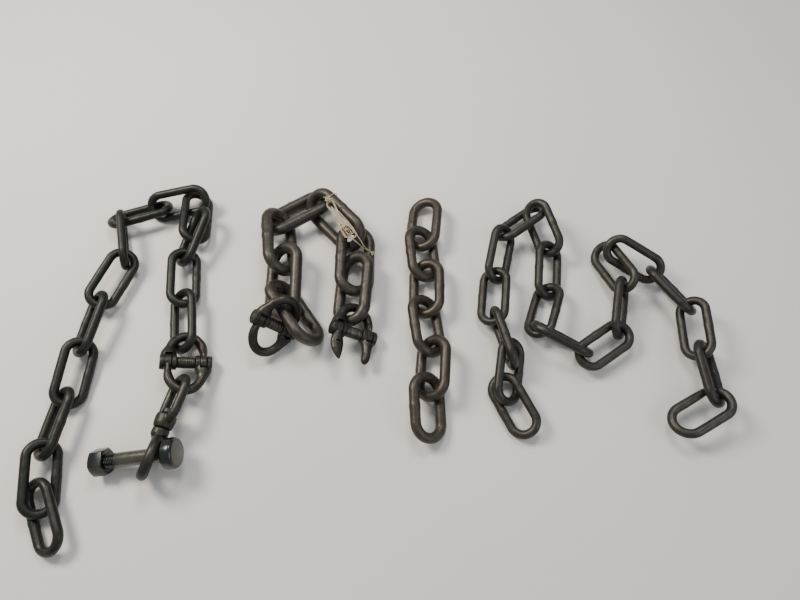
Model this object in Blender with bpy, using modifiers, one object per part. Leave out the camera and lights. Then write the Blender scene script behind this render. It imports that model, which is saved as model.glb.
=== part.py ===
"""A heap of four lengths of welded steel chain, as it lies on a floor.

The left chain ends in a two-part coupling, a swivel and a bolt. The heavy chain has a coupling at
each end, one of them broken, and a hank of twine. The straight and the right chain are plain.
Lengths are in metres, angles in degrees, +Z is up and the floor is at zero.
"""

import bpy
import bmesh
import numpy as np
from collections import namedtuple
from math import atan2, ceil, cos, degrees, pi, radians, sin, sqrt
from mathutils import Matrix, Vector

# Clearance between two pieces that touch
GAP = 0.0003

# Left chain, long link
LEFT_BAR = 0.016
LEFT_PITCH = 0.099
LEFT_INNER_WIDTH = 0.030

# Heavy chain, with the couplings and the twine
HEAVY_BAR = 0.022
HEAVY_PITCH = 0.114
HEAVY_INNER_WIDTH = 0.036

# Straight chain, the short one in the middle
STRAIGHT_BAR = 0.019
STRAIGHT_PITCH = 0.088
STRAIGHT_INNER_WIDTH = 0.034

# Right chain, with the sprung-open link at its end
RIGHT_BAR = 0.016
RIGHT_PITCH = 0.093
RIGHT_INNER_WIDTH = 0.030
END_LINK_INNER_WIDTH = 0.036
END_LINK_OPENING = 0.006

# Coupling: a bow with a single ear and a forked ear, on a pin with a sleeve. The block that joins an
# ear to its leg and the slot of the forked ear are shares of the ear's radius.
COUPLING_BAR = 0.017
COUPLING_HALF_LENGTH = 0.046
COUPLING_EAR_RADIUS = 0.014
COUPLING_SINGLE_EAR = 0.012
COUPLING_FORK_EAR = 0.008
COUPLING_BLOCK_TOP = 1.45
COUPLING_BLOCK_CHEEK = 0.8
COUPLING_SLOT_HALF = 1.2
COUPLING_SLEEVE_RADIUS = 0.0105
COUPLING_SLEEVE_LENGTH = 0.030
COUPLING_PIN_RADIUS = 0.0065
COUPLING_PLAY = 0.0005

# What is left of the broken coupling's lower half, from the pin's axis to the tip of each leg
LEFT_STUB_LENGTH = 0.060
RIGHT_STUB_LENGTH = 0.056

# Their thickness from the ear to the tip, as shares of the bar
LEFT_STUB_WIDTHS = (1.0, 1.1, 1.0, 0.7, 0.3)
RIGHT_STUB_WIDTHS = (1.0, 0.95, 0.9, 0.85, 0.6)

# Swivel: a bow with a boss, and an eye whose stem turns in it. The feet of the bow start inside the
# boss and spread to the bow's width along the neck.
SWIVEL_BAR = 0.016
SWIVEL_BOW_WIDTH = 0.044
SWIVEL_BOW_LENGTH = 0.070
SWIVEL_BOSS_RADIUS = 0.017
SWIVEL_BOSS_LENGTH = 0.024
SWIVEL_FOOT_DEPTH = 0.015
SWIVEL_FOOT_OUT = 0.012
SWIVEL_NECK_LENGTH = 0.018
SWIVEL_NECK_MIDDLE = 0.008
SWIVEL_NECK_OUT = 0.019
SWIVEL_STEM_RADIUS = 0.008
SWIVEL_HEAD_RADIUS = 0.012
SWIVEL_HEAD_LENGTH = 0.010
SWIVEL_COLLAR_RADIUS = 0.0145
SWIVEL_COLLAR_LENGTH = 0.014
SWIVEL_PLAY = 0.0005
EYE_BAR = 0.018
EYE_INNER_WIDTH = 0.042
EYE_RISE = 0.005

# Bolt through the swivel's eye
BOLT_SHANK = 0.025
BOLT_LENGTH = 0.131
BOLT_HEAD_RADIUS = 0.026
BOLT_HEAD_THICKNESS = 0.020
BOLT_HEAD_ROUND = 0.004
NUT_ACROSS_FLATS = 0.041
NUT_THICKNESS = 0.025
BOLT_POINT = 0.002

# Twine on the heavy chain. Its loop keeps clear of the link by a share of the twine's thickness, and
# its points lie a few thicknesses apart.
TWINE = 0.0016
LOOP_CLEAR = 1.3
TWINE_STEP = 2.8
HANK_LENGTH = 0.112
HANK_WIDTH = 0.014
HANK_THICKNESS = 0.006

# Roundness: steps of a half turn and of a coupling's bow, sides of a bar and of a turned piece
CROWN_STEPS = 6
BOW_STEPS = 12
LOOP_STEPS = 12
BAR_RESOLUTION = 2
TURNED_SIDES = 20
EAR_SIDES = 16
SHARP_ANGLE = 35
MERGE = 0.00001

# How far a cutting tool reaches past what it cuts, as a share of its length
CUT_PAST = 1.2

# Spacing of the points that stand for a bar when clearances are measured
FINE = 0.004

# How far a piece may be lifted or moved aside to hook onto the one before it. A lift counts for more
# than the same move aside.
MAX_LIFT = 0.016
MAX_SHIFT = 0.012
LIFT_WEIGHT = 1.7
SHIFT_STEP = 0.002
MAX_PULL = 0.010
MAX_CLOSER = 0.016

# How each link lies. Heading is the compass angle of its length from +X. Lean turns it about its
# length, and lifts the side to the left of its heading. Nose tips its front end up. Slack is how
# much closer to the link before it lies than when the chain is taut. Pull turns the line between
# the two links' crowns.
Lay = namedtuple("Lay", "heading lean nose slack pull")

LEFT_START = (-0.569, -0.414)
LEFT_LAYS = (
    Lay(119, -28, 0, 0, 0),
    Lay(99, 28, 5, 0.035, 0),
    Lay(84, -38, 0, 0.009, 0),
    Lay(87, 27, 5, 0.007, -14),
    Lay(81, -43, 5, 0.004, 0),
    Lay(72, 24, 0, 0.004, 0),
    Lay(106, -75, 0, 0.009, 0),
    Lay(21, -32, 0, 0.021, 14),
    Lay(8, 40, 10, 0.022, 28),
    Lay(276, -30, 5, 0.030, -14),
    Lay(255, 42, -10, 0.049, -14),
    Lay(279, -23, 2, 0.008, 0),
    Lay(280, 32, 0, 0.005, 0),
)

HEAVY_START = (-0.196, -0.047)
HEAVY_LAYS = (
    Lay(126, 50, 0, 0, 0),
    Lay(92, -30, 6, 0.036, 16),
    Lay(100, 48, -6, 0.030, 20),
    Lay(34, -26, 0, 0.020, 20),
    Lay(314, 48, 0, 0.002, -30),
    Lay(271, -24, 0, 0.012, 20),
    Lay(268, 30, 0, 0.050, -20),
)

STRAIGHT_START = (0.045, 0.162)
STRAIGHT_LAYS = (
    Lay(265, 24, 0, 0, 0),
    Lay(277, -28, 0, 0.025, -14),
    Lay(270, 26, 0, 0.011, 14),
    Lay(279, -33, 0, 0.010, -14),
    Lay(267, 38, 0, 0.006, 14),
    Lay(274, -31, -5, 0.016, -28),
)

RIGHT_START = (0.206, -0.209)
RIGHT_LAYS = (
    Lay(117, -22, 0, 0, 0),
    Lay(82, 36, 7, 0.030, 2),
    Lay(106, 86, -1, 0.028, 16),
    Lay(84, -28, -1, 0.005, -16),
    Lay(78, 41, 8, 0.002, 2),
    Lay(38, -40, 2, 0.002, 4),
    Lay(289, 48, -8, 0.020, -26),
    Lay(265, -30, -6, 0.002, -16),
    Lay(251, 34, 5, 0.007, 16),
    Lay(335, -58, -9, 0.014, 0),
    Lay(35, 6, 1, 0.002, -31),
    Lay(80, 60, 8, 0.004, 16),
    Lay(110, -46, -15, 0.002, -36),
    Lay(330, 40, -9, 0.008, -40),
    Lay(302, -48, 5, 0.002, 10),
    Lay(268, 44, -1, 0.002, 26),
    Lay(276, -42, -3, 0.007, 36),
    Lay(210, 18, -6, 0.008, 16),
)

# How the fittings lie
LEFT_COUPLING_LAY = Lay(280, -22, 8, 0.002, 24)
SWIVEL_LAY = Lay(258, 45, 2, 0, -24)
EYE_LEAN = 67
BOLT_HEADING = 186
HEAVY_END_COUPLING_LAY = Lay(268, -28, 8, 0.008, 24)

# The heavy chain's start coupling hangs on the first link, so its place is given. Each half is
# turned about the pin by its own fold.
HEAVY_START_COUPLING_LAY = Lay(263, -42, 0, 0, 0)
HEAVY_START_COUPLING_AT = (-0.228, -0.078)
BACK_FOLD = 45
FRONT_FOLD = 30

# The twine: how far its loop is from the fifth heavy link's bend, how its hank lies, its end
TWINE_LINK = 5
LOOP_ALONG = 0.008
HANK_AT = (-0.119, 0.138)
HANK_LAY = Lay(304, 0, -4, 0, 0)
TAIL_AT = (-0.057, 0.090)


def axes(heading, nose, lean):
    """Unit vectors along and across a piece that lies as the three angles say."""
    turn, tip, roll = radians(heading), radians(nose), radians(lean)
    along = np.array([cos(tip) * cos(turn), cos(tip) * sin(turn), sin(tip)])
    side = np.array([-sin(turn), cos(turn), 0.0])
    across = cos(roll) * side + sin(roll) * np.cross(along, side)
    return along, across


def arc(middle, radius, first, last, steps):
    """Points on an arc, pushed out so that the chords lie as much outside it as inside."""
    reach = radius / sqrt(cos(abs(last - first) / steps / 2))
    angles = [first + (last - first) * i / steps for i in range(steps + 1)]
    return [(middle + reach * cos(a), reach * sin(a)) for a in angles]


def spread(points, radius, closed):
    """Points at most FINE apart along a line, each with the bar's radius."""
    points = [np.array(p, float) for p in points]
    ends = points[1:] + points[:1] if closed else points[1:]
    fine = []
    for start, end in zip(points, ends):
        pieces = max(1, ceil(np.linalg.norm(end - start) / FINE))
        fine += [start + (end - start) * i / pieces for i in range(pieces)]
    if not closed:
        fine.append(points[-1])
    return np.array([(*p, radius) for p in fine])


# A piece's shape for laying it. Balls are rows of x, y, z and radius in its own frame, x along and
# y across. Front and back are the distances from its origin to its end bends, with their radii.
Shape = namedtuple("Shape", "balls front back front_bend back_bend front_bar back_bar")


def link_outline(bar, pitch, inner_width):
    """Centreline of a link in its own plane, and where its bends are."""
    bend = (inner_width + bar) / 2
    straight = (pitch + bar) / 2 - bend
    outline = arc(straight, bend, -pi / 2, pi / 2, CROWN_STEPS)
    outline += arc(-straight, bend, pi / 2, 3 * pi / 2, CROWN_STEPS)
    return outline, straight, bend


def link_shape(bar, pitch, inner_width):
    outline, straight, bend = link_outline(bar, pitch, inner_width)
    balls = spread([(x, y, 0) for x, y in outline], bar / 2, True)
    return Shape(balls, straight, straight, bend, bend, bar, bar)


class Piece:
    """A shape at its place: an origin, a direction along it and one across it."""

    def __init__(self, shape, origin, along, across):
        self.shape = shape
        self.origin = np.array(origin, float)
        self.along = along
        self.across = across
        self.balls = np.hstack([self.points() + self.origin, shape.balls[:, 3:]])

    def points(self):
        normal = np.cross(self.along, self.across)
        return self.shape.balls[:, :3] @ np.array([self.along, self.across, normal])

    def front(self):
        return self.origin + self.shape.front * self.along

    def at(self, x, y, z=0.0):
        """A point of the piece's own frame, in the world."""
        normal = np.cross(self.along, self.across)
        return self.origin + x * self.along + y * self.across + z * normal

    def matrix(self):
        normal = np.cross(self.along, self.across)
        frame = np.column_stack([self.along, self.across, normal, self.origin])
        return Matrix([list(row) for row in frame] + [[0, 0, 0, 1]])


def clearance(balls, others):
    """Smallest distance between two sets of balls, less the gap that touching pieces keep."""
    apart = np.linalg.norm(balls[:, None, :3] - others[None, :, :3], axis=2)
    return (apart - balls[:, None, 3] - others[None, :, 3]).min() - GAP


def clear_of(balls, pieces):
    """Smallest clearance to any piece whose box is near."""
    low, high = balls[:, :3].min(0) - FINE * 8, balls[:, :3].max(0) + FINE * 8
    free = FINE
    for piece in pieces:
        near = ((piece.balls[:, :3] > low) & (piece.balls[:, :3] < high)).all(1)
        if near.any():
            free = min(free, clearance(balls, piece.balls[near]))
    return free


def bisect(good, bad, works):
    """The value nearest to bad that still works."""
    for _ in range(8):
        middle = (good + bad) / 2
        if works(middle):
            good = middle
        else:
            bad = middle
    return good


def floor_height(balls):
    """How high a shape's origin lies when its lowest point touches the floor."""
    return (balls[:, 3] - balls[:, 2]).max()


def laid_alone(shape, start, lay):
    """The first piece of a chain, on the floor."""
    along, across = axes(lay.heading, lay.nose, lay.lean)
    piece = Piece(shape, (0, 0, 0), along, across)
    return Piece(shape, (*start, floor_height(piece.balls)), along, across)


def hooked_on(shape, lay, pieces):
    """A piece hooked into the front end of the last one, as low and as square as it fits."""
    last = pieces[-1]
    along, across = axes(lay.heading, lay.nose, lay.lean)
    loose = Piece(shape, (0, 0, 0), along, across)
    height = floor_height(loose.balls)
    before = degrees(atan2(last.along[1], last.along[0]))
    turn = (lay.heading - before + 180) % 360 - 180
    line = radians(before + turn / 2 + lay.pull)
    out = np.array([cos(line), sin(line), 0.0])
    aside = np.array([-sin(line), cos(line), 0.0])
    bars = (last.shape.front_bar + shape.back_bar) / 2
    taut = last.shape.front_bend + shape.back_bend - bars

    def origin(step, lift, shift):
        place = last.front() + step * out + shift * aside + shape.back * along
        place[2] = height + lift
        return place

    def free(step, lift, shift):
        balls = loose.balls.copy()
        balls[:, :3] += origin(step, lift, shift)
        return clear_of(balls, pieces[-4:])

    lifts = np.arange(0, MAX_LIFT + SHIFT_STEP / 2, SHIFT_STEP)
    shifts = np.arange(-MAX_SHIFT, MAX_SHIFT + SHIFT_STEP / 2, SHIFT_STEP)
    moves = sorted(((l, s) for l in lifts for s in shifts),
                   key=lambda m: LIFT_WEIGHT * m[0] ** 2 + m[1] ** 2)
    for closer in np.arange(0, MAX_CLOSER, SHIFT_STEP):
        step = taut - lay.slack - closer
        fitting = next((m for m in moves if free(step, *m) >= 0), None)
        if fitting:
            break
    lift, shift = fitting or (MAX_LIFT, 0)
    if lift > 0:
        lift = bisect(lift, lift - SHIFT_STEP, lambda l: free(step, l, shift) >= 0)
    if free(step, lift, shift) > GAP:
        far = step
        while far < step + MAX_PULL and free(far, lift, shift) >= 0:
            far += SHIFT_STEP / 2
        step = bisect(far - SHIFT_STEP / 2, far, lambda s: free(s, lift, shift) >= 0)
    return Piece(shape, origin(step, lift, shift), along, across)


def lay_chain(shapes, start, lays):
    """The pieces of one chain, each hooked into the one before."""
    pieces = [laid_alone(shapes[0], start, lays[0])]
    for shape, lay in zip(shapes[1:], lays[1:]):
        pieces.append(hooked_on(shape, lay, pieces))
    return pieces


def clear_scene():
    for thing in list(bpy.data.objects):
        bpy.data.objects.remove(thing, do_unlink=True)


def new_collection(name):
    collection = bpy.data.collections.new(name)
    bpy.context.scene.collection.children.link(collection)
    return collection


def steel(name, colour, roughness):
    """A steel surface of one colour."""
    material = bpy.data.materials.new(name)
    material.use_nodes = True
    shader = material.node_tree.nodes["Principled BSDF"]
    shader.inputs["Base Color"].default_value = (*colour, 1.0)
    shader.inputs["Metallic"].default_value = 0.8
    shader.inputs["Roughness"].default_value = roughness
    return material


def fibre(name, colour):
    """A dull textile surface of one colour."""
    material = bpy.data.materials.new(name)
    material.use_nodes = True
    shader = material.node_tree.nodes["Principled BSDF"]
    shader.inputs["Base Color"].default_value = (*colour, 1.0)
    shader.inputs["Roughness"].default_value = 0.9
    return material


def bar_curve(name, points, radius, closed, widths=None):
    """A round bar along a line of points, as a curve."""
    curve = bpy.data.curves.new(name, "CURVE")
    curve.dimensions = "3D"
    curve.twist_mode = "Z_UP"
    curve.bevel_depth = radius
    curve.bevel_resolution = BAR_RESOLUTION
    curve.use_fill_caps = True
    spline = curve.splines.new("POLY")
    spline.points.add(len(points) - 1)
    for spot, point in zip(spline.points, points):
        spot.co = (*point, 1.0)
    for spot, width in zip(spline.points, widths or [1.0] * len(points)):
        spot.radius = width
    spline.use_cyclic_u = closed
    return curve


def add_object(name, data, collection, matrix, material):
    thing = bpy.data.objects.new(name, data)
    collection.objects.link(thing)
    thing.matrix_world = matrix
    if not data.materials:
        data.materials.append(material)
    return thing


def mesh_of(curve):
    """A curve's bar as one closed mesh."""
    carrier = bpy.data.objects.new("carrier", curve)
    bpy.context.scene.collection.objects.link(carrier)
    bpy.context.view_layer.update()
    evaluated = carrier.evaluated_get(bpy.context.evaluated_depsgraph_get())
    mesh = bpy.data.meshes.new_from_object(evaluated)
    bpy.data.objects.remove(carrier)
    work = bmesh.new()
    work.from_mesh(mesh)
    bmesh.ops.remove_doubles(work, verts=work.verts, dist=MERGE)
    bmesh.ops.recalc_face_normals(work, faces=work.faces)
    work.to_mesh(mesh)
    work.free()
    return mesh


def cylinder(radius, start, end, sides=TURNED_SIDES):
    """A cylinder along X between two places, as a mesh."""
    work = bmesh.new()
    turn = Matrix.Rotation(pi / 2, 4, "Y") @ Matrix.Rotation(pi / sides, 4, "Z")
    bmesh.ops.create_cone(work, cap_ends=True, segments=sides, radius1=radius, radius2=radius,
                          depth=end - start, matrix=Matrix.Translation(((start + end) / 2, 0, 0)) @ turn)
    mesh = bpy.data.meshes.new("cylinder")
    work.to_mesh(mesh)
    work.free()
    return mesh


def block(low, high):
    """A box between two corners, as a mesh."""
    low, high = Vector(low), Vector(high)
    work = bmesh.new()
    size = Matrix.Diagonal((*(high - low), 1.0))
    bmesh.ops.create_cube(work, size=1.0, matrix=Matrix.Translation((low + high) / 2) @ size)
    mesh = bpy.data.meshes.new("block")
    work.to_mesh(mesh)
    work.free()
    return mesh


def combined(name, base, steps):
    """The base mesh with others joined to it or cut from it, in order, as one mesh."""
    body = bpy.data.objects.new(name, base)
    bpy.context.scene.collection.objects.link(body)
    tools = []
    for operation, mesh in steps:
        tool = bpy.data.objects.new(name + "_tool", mesh)
        bpy.context.scene.collection.objects.link(tool)
        modifier = body.modifiers.new(operation.lower(), "BOOLEAN")
        modifier.operation = operation
        modifier.object = tool
        tools.append(tool)
    bpy.context.view_layer.update()
    evaluated = body.evaluated_get(bpy.context.evaluated_depsgraph_get())
    mesh = bpy.data.meshes.new_from_object(evaluated)
    mesh.name = name
    for thing in [body] + tools:
        bpy.data.objects.remove(thing)
    return mesh


def smooth(mesh):
    mesh.shade_smooth()
    mesh.set_sharp_from_angle(angle=radians(SHARP_ANGLE))
    return mesh


def coupling_sizes():
    """Where the ears lie on the pin, from the middle outwards."""
    inner = COUPLING_SLEEVE_LENGTH / 2 + COUPLING_PLAY
    single = inner + COUPLING_FORK_EAR + COUPLING_PLAY
    outer = single + COUPLING_SINGLE_EAR + COUPLING_PLAY
    return inner, single, outer, outer + COUPLING_FORK_EAR


def bow_point(angle):
    """A point on the centreline of a coupling's bow, which is half an ellipse."""
    single = coupling_sizes()[1]
    leg = single + COUPLING_SINGLE_EAR / 2
    foot = COUPLING_EAR_RADIUS + 3 * COUPLING_PLAY
    rise = COUPLING_HALF_LENGTH + COUPLING_BAR / 2 - foot
    return leg * cos(angle), foot + rise * sin(angle), 0.0


def coupling_shape():
    """Both halves and the pin. Its own x axis runs from the back bow to the front bow."""
    bow = [bow_point(pi * i / BOW_STEPS) for i in range(BOW_STEPS + 1)]
    reach = COUPLING_HALF_LENGTH + COUPLING_BAR / 2
    bend = bow_point(0)[0] ** 2 / reach
    front = spread([(y, x, 0) for x, y, z in bow], COUPLING_BAR / 2, False)
    back = spread([(-y, x, 0) for x, y, z in bow], COUPLING_BAR / 2, False)
    end = coupling_sizes()[3]
    ears = []
    for side in (-1, 1):
        for part in (0.55, 0.75, 0.95):
            ears.append((0, side * part * (end - COUPLING_FORK_EAR / 4), 0, COUPLING_EAR_RADIUS))
    sleeve = spread([(0, -end / 2, 0), (0, end / 2, 0)], COUPLING_SLEEVE_RADIUS, False)
    balls = np.vstack([front, back, sleeve, np.array(ears)])
    return Shape(balls, reach - bend, reach - bend, bend, bend, COUPLING_BAR, COUPLING_BAR)


def ear_steps(side, forked):
    """The ears that join one leg of a bow to the pin, at the side of the given sign."""
    inner, single, outer, end = coupling_sizes()
    steps = []
    low, high = (inner, end) if forked else (single, single + COUPLING_SINGLE_EAR)
    top = COUPLING_EAR_RADIUS * COUPLING_BLOCK_TOP
    cheek = COUPLING_EAR_RADIUS * COUPLING_BLOCK_CHEEK
    span = sorted((side * low, side * high))
    steps.append(("UNION", cylinder(COUPLING_EAR_RADIUS, *span, EAR_SIDES)))
    steps.append(("UNION", block((span[0], 0, -cheek), (span[1], top, cheek))))
    if forked:
        slot = sorted((side * (single - COUPLING_PLAY), side * outer))
        depth = COUPLING_EAR_RADIUS + COUPLING_PLAY
        wide = COUPLING_EAR_RADIUS * COUPLING_SLOT_HALF
        steps.append(("DIFFERENCE", block((slot[0], -wide, -wide), (slot[1], depth, wide))))
    return steps


def bore_step():
    """The hole for the pin."""
    end = coupling_sizes()[3] * CUT_PAST
    return [("DIFFERENCE", cylinder(COUPLING_PIN_RADIUS + GAP, -end, end, EAR_SIDES))]


def coupling_half_mesh():
    """One half: a bow with a single ear at its left foot and a forked one at its right."""
    bow = [bow_point(pi * i / BOW_STEPS) for i in range(BOW_STEPS + 1)]
    bar = mesh_of(bar_curve("bow_bar", bow, COUPLING_BAR / 2, False))
    steps = ear_steps(-1, False) + ear_steps(1, True) + bore_step()
    return smooth(combined("coupling_half", bar, steps))


def stub_mesh(name, side, forked, length, widths):
    """A leg of a broken half, from its ear on the pin to its tip."""
    first = bow_point(0 if side > 0 else pi)
    steps = len(widths) - 1
    lean_in = COUPLING_BAR / 2 / steps
    rise = (length - COUPLING_BAR / 4 - first[1]) / steps
    run = [(first[0] - side * lean_in * max(0, i - 1), first[1] + rise * i, 0)
           for i in range(steps + 1)]
    bar = mesh_of(bar_curve(name + "_bar", run, COUPLING_BAR / 2, False, widths))
    return smooth(combined(name, bar, ear_steps(side, forked) + bore_step()))


def pin_mesh():
    """The pin with its sleeve."""
    end = coupling_sizes()[3]
    half = COUPLING_SLEEVE_LENGTH / 2
    sleeve = cylinder(COUPLING_SLEEVE_RADIUS, -half, half)
    return smooth(combined("coupling_pin", cylinder(COUPLING_PIN_RADIUS, -end, end),
                           [("UNION", sleeve)]))


def coupling_matrices(piece):
    """Frames of the back and the front half, whose own y axis points to their bow."""
    turned = Matrix(((0, 1, 0, 0), (1, 0, 0, 0), (0, 0, -1, 0), (0, 0, 0, 1)))
    front = piece.matrix() @ turned
    back = front @ Matrix.Rotation(pi, 4, "Z")
    return back, front


def swivel_bow_line():
    """Centreline of the swivel's bow, x from the crown to the eye, with its origin at the boss."""
    half = SWIVEL_BOW_WIDTH / 2
    crown = [(-SWIVEL_BOW_LENGTH - x, y) for x, y in arc(0, half, -pi / 2, pi / 2, CROWN_STEPS)]
    foot = [(-SWIVEL_FOOT_DEPTH, SWIVEL_FOOT_OUT),
            (-SWIVEL_FOOT_DEPTH - SWIVEL_NECK_MIDDLE, SWIVEL_NECK_OUT),
            (-SWIVEL_FOOT_DEPTH - SWIVEL_NECK_LENGTH, half)]
    line = [(x, -y) for x, y in foot] + crown + foot[::-1]
    return [(x, y, 0.0) for x, y in line]


def eye_bend():
    return (EYE_INNER_WIDTH + EYE_BAR) / 2


def eye_middle():
    """Distance from the boss's face to the middle of the eye's ring."""
    return SWIVEL_PLAY + SWIVEL_COLLAR_LENGTH + eye_bend() + EYE_RISE


def swivel_shape(lean, eye_lean):
    """Bow, boss and eye, with the eye turned about the stem."""
    bow = spread(swivel_bow_line(), SWIVEL_BAR / 2, False)
    boss = spread([(-SWIVEL_BOSS_LENGTH + SWIVEL_BOSS_RADIUS / 2, 0, 0), (0, 0, 0)],
                  SWIVEL_BOSS_RADIUS, False)
    turn = radians(eye_lean - lean)
    ring = arc(0, eye_bend(), 0, 2 * pi, 4 * CROWN_STEPS)[:-1]
    ring = [(eye_middle() + x, y * cos(turn), y * sin(turn)) for x, y in ring]
    balls = np.vstack([bow, boss, spread(ring, EYE_BAR / 2, True)])
    half = SWIVEL_BOW_WIDTH / 2
    return Shape(balls, eye_middle(), SWIVEL_BOW_LENGTH, eye_bend(), half, EYE_BAR, SWIVEL_BAR)


def swivel_bow_mesh():
    """The bow with its bored boss."""
    bar = mesh_of(bar_curve("swivel_bow_bar", swivel_bow_line(), SWIVEL_BAR / 2, False))
    boss = cylinder(SWIVEL_BOSS_RADIUS, -SWIVEL_BOSS_LENGTH, 0)
    reach = SWIVEL_BOSS_LENGTH + SWIVEL_PLAY + SWIVEL_HEAD_LENGTH
    bore = cylinder(SWIVEL_STEM_RADIUS + GAP, -reach, reach, EAR_SIDES)
    seat = cylinder(SWIVEL_HEAD_RADIUS + SWIVEL_PLAY, -reach, -SWIVEL_BOSS_LENGTH)
    steps = [("UNION", boss), ("DIFFERENCE", bore), ("DIFFERENCE", seat)]
    return smooth(combined("swivel_bow", bar, steps))


def swivel_eye_mesh():
    """The ring with its collar, stem and the head that holds the stem in the boss."""
    ring = arc(0, eye_bend(), 0, 2 * pi, 4 * CROWN_STEPS)[:-1]
    line = [(eye_middle() + x, y, 0.0) for x, y in ring]
    bar = mesh_of(bar_curve("swivel_ring_bar", line, EYE_BAR / 2, True))
    collar_end = SWIVEL_PLAY + SWIVEL_COLLAR_LENGTH
    head_start = SWIVEL_BOSS_LENGTH + SWIVEL_PLAY
    collar = cylinder(SWIVEL_COLLAR_RADIUS, SWIVEL_PLAY, collar_end)
    stem = cylinder(SWIVEL_STEM_RADIUS, -head_start - SWIVEL_HEAD_LENGTH / 2, collar_end / 2, EAR_SIDES)
    head = cylinder(SWIVEL_HEAD_RADIUS, -head_start - SWIVEL_HEAD_LENGTH, -head_start)
    steps = [("UNION", collar), ("UNION", stem), ("UNION", head)]
    return smooth(combined("swivel_eye", bar, steps))


def bolt_clearance(origin, along, balls):
    """Smallest distance between the bolt and a set of balls, less the gap."""
    offset = balls[:, :3] - origin
    ahead = offset @ along
    aside = np.linalg.norm(offset - ahead[:, None] * along, axis=1)
    head = np.hypot(np.maximum(ahead, 0), np.maximum(aside - BOLT_HEAD_RADIUS, 0))
    shank = np.where(ahead > 0, aside - BOLT_SHANK / 2, BOLT_LENGTH)
    return (np.minimum(head, shank) - balls[:, 3]).min() - GAP


def bolt_frame(swivel, eye):
    """The bolt's origin and direction. It leans on the eye's lower edge and rests on its nut."""
    edges = [eye.at(eye_middle(), side * eye_bend()) for side in (-1, 1)]
    low = min(edges, key=lambda edge: edge[2])
    turn = radians(BOLT_HEADING)
    away = np.array([cos(turn), sin(turn), 0.0])

    def placed(back, rise):
        edge = low + (0, 0, rise)
        nut = edge + away * (nut_middle() - back)
        drop = 0.0
        for _ in range(4):
            nut[2] = (NUT_ACROSS_FLATS * cos(drop) + NUT_THICKNESS * sin(drop)) / 2
            along = (nut - edge) / np.linalg.norm(nut - edge)
            drop = atan2(-along[2], sqrt(1 - along[2] ** 2))
        return edge - along * back, along

    far = EYE_BAR + BOLT_HEAD_RADIUS
    middle = eye.at(eye_middle(), 0)[2] - low[2]
    rise = bisect(middle, 0, lambda r: bolt_clearance(*placed(far, r), swivel.balls) >= 0)
    back = bisect(far, 0, lambda b: bolt_clearance(*placed(b, rise), swivel.balls) >= 0)
    return placed(back, rise)


def nut_middle():
    return BOLT_LENGTH - BOLT_POINT - NUT_THICKNESS / 2


def frame_matrix(origin, along, up):
    """Frame with x along a direction and y as near as it can be to up."""
    across = np.cross(along, up)
    across = across / np.linalg.norm(across)
    frame = np.column_stack([along, np.cross(across, along), across, origin])
    return Matrix([list(row) for row in frame] + [[0, 0, 0, 1]])


def turned(name, outline):
    """A round piece about X from its outline of (x, radius) points."""
    mesh = bpy.data.meshes.new(name)
    mesh.from_pydata([(x, radius, 0) for x, radius in outline],
                     [(i, i + 1) for i in range(len(outline) - 1)], [])
    return mesh


def add_screw(thing):
    screw = thing.modifiers.new("turn", "SCREW")
    screw.axis = "X"
    screw.steps = screw.render_steps = TURNED_SIDES
    screw.use_merge_vertices = True
    screw.merge_threshold = MERGE
    screw.use_smooth_shade = True
    screw.use_normal_calculate = True


def bolt_outline():
    """Half section of the bolt, thread end at positive x and head at negative x."""
    shank = BOLT_SHANK / 2
    back = -BOLT_HEAD_THICKNESS
    edge = BOLT_HEAD_RADIUS - BOLT_HEAD_ROUND
    outline = [(BOLT_LENGTH, 0), (BOLT_LENGTH, shank), (0, shank), (0, BOLT_HEAD_RADIUS)]
    for x, radius in arc(0, BOLT_HEAD_ROUND, pi / 2, pi, 3):
        outline.append((back + BOLT_HEAD_ROUND + x, edge + radius))
    outline.append((back, 0))
    return outline


def nut_mesh():
    """A hexagon with a hole for the bolt's thread, its middle at the origin."""
    corner = NUT_ACROSS_FLATS / sqrt(3)
    half = NUT_THICKNESS / 2
    bore = cylinder(BOLT_SHANK / 2 + GAP, -half * CUT_PAST, half * CUT_PAST)
    return combined("bolt_nut", cylinder(corner, -half, half, 6), [("DIFFERENCE", bore)])


def hank_shape():
    """The hank as rows of balls that take in its edges."""
    bend = HANK_WIDTH / 2
    half = HANK_LENGTH / 2
    lines = [((-half + bend / 2, y, 0), (half - bend / 2, y, 0))
             for y in np.linspace(-1, 1, 5) * (HANK_WIDTH - HANK_THICKNESS) / 2]
    balls = np.vstack([spread(line, HANK_THICKNESS / sqrt(2), False) for line in lines])
    return Shape(balls, half, half, bend, bend, HANK_THICKNESS, HANK_THICKNESS)


def rested(shape, lay, spot, pieces):
    """A piece over the given spot, lowered until it touches one of the others."""
    along, across = axes(lay.heading, lay.nose, lay.lean)

    def at_height(height):
        return Piece(shape, (*spot, height), along, across)

    height = HANK_LENGTH
    while clear_of(at_height(height - SHIFT_STEP).balls, pieces) >= 0:
        height -= SHIFT_STEP
    return at_height(bisect(height, height - SHIFT_STEP,
                            lambda z: clear_of(at_height(z).balls, pieces) >= 0))


def hank_curve():
    """A flat hank with round ends, as a filled and thickened outline."""
    bend = HANK_WIDTH / 2
    half = HANK_LENGTH / 2 - bend
    outline = arc(half, bend, -pi / 2, pi / 2, CROWN_STEPS)
    outline += arc(-half, bend, pi / 2, 3 * pi / 2, CROWN_STEPS)
    curve = bpy.data.curves.new("twine_hank", "CURVE")
    curve.dimensions = "2D"
    curve.fill_mode = "BOTH"
    curve.extrude = HANK_THICKNESS / 2
    spline = curve.splines.new("POLY")
    spline.points.add(len(outline) - 1)
    for spot, point in zip(spline.points, outline):
        spot.co = (*point, 0.0, 1.0)
    spline.use_cyclic_u = True
    return curve


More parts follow.
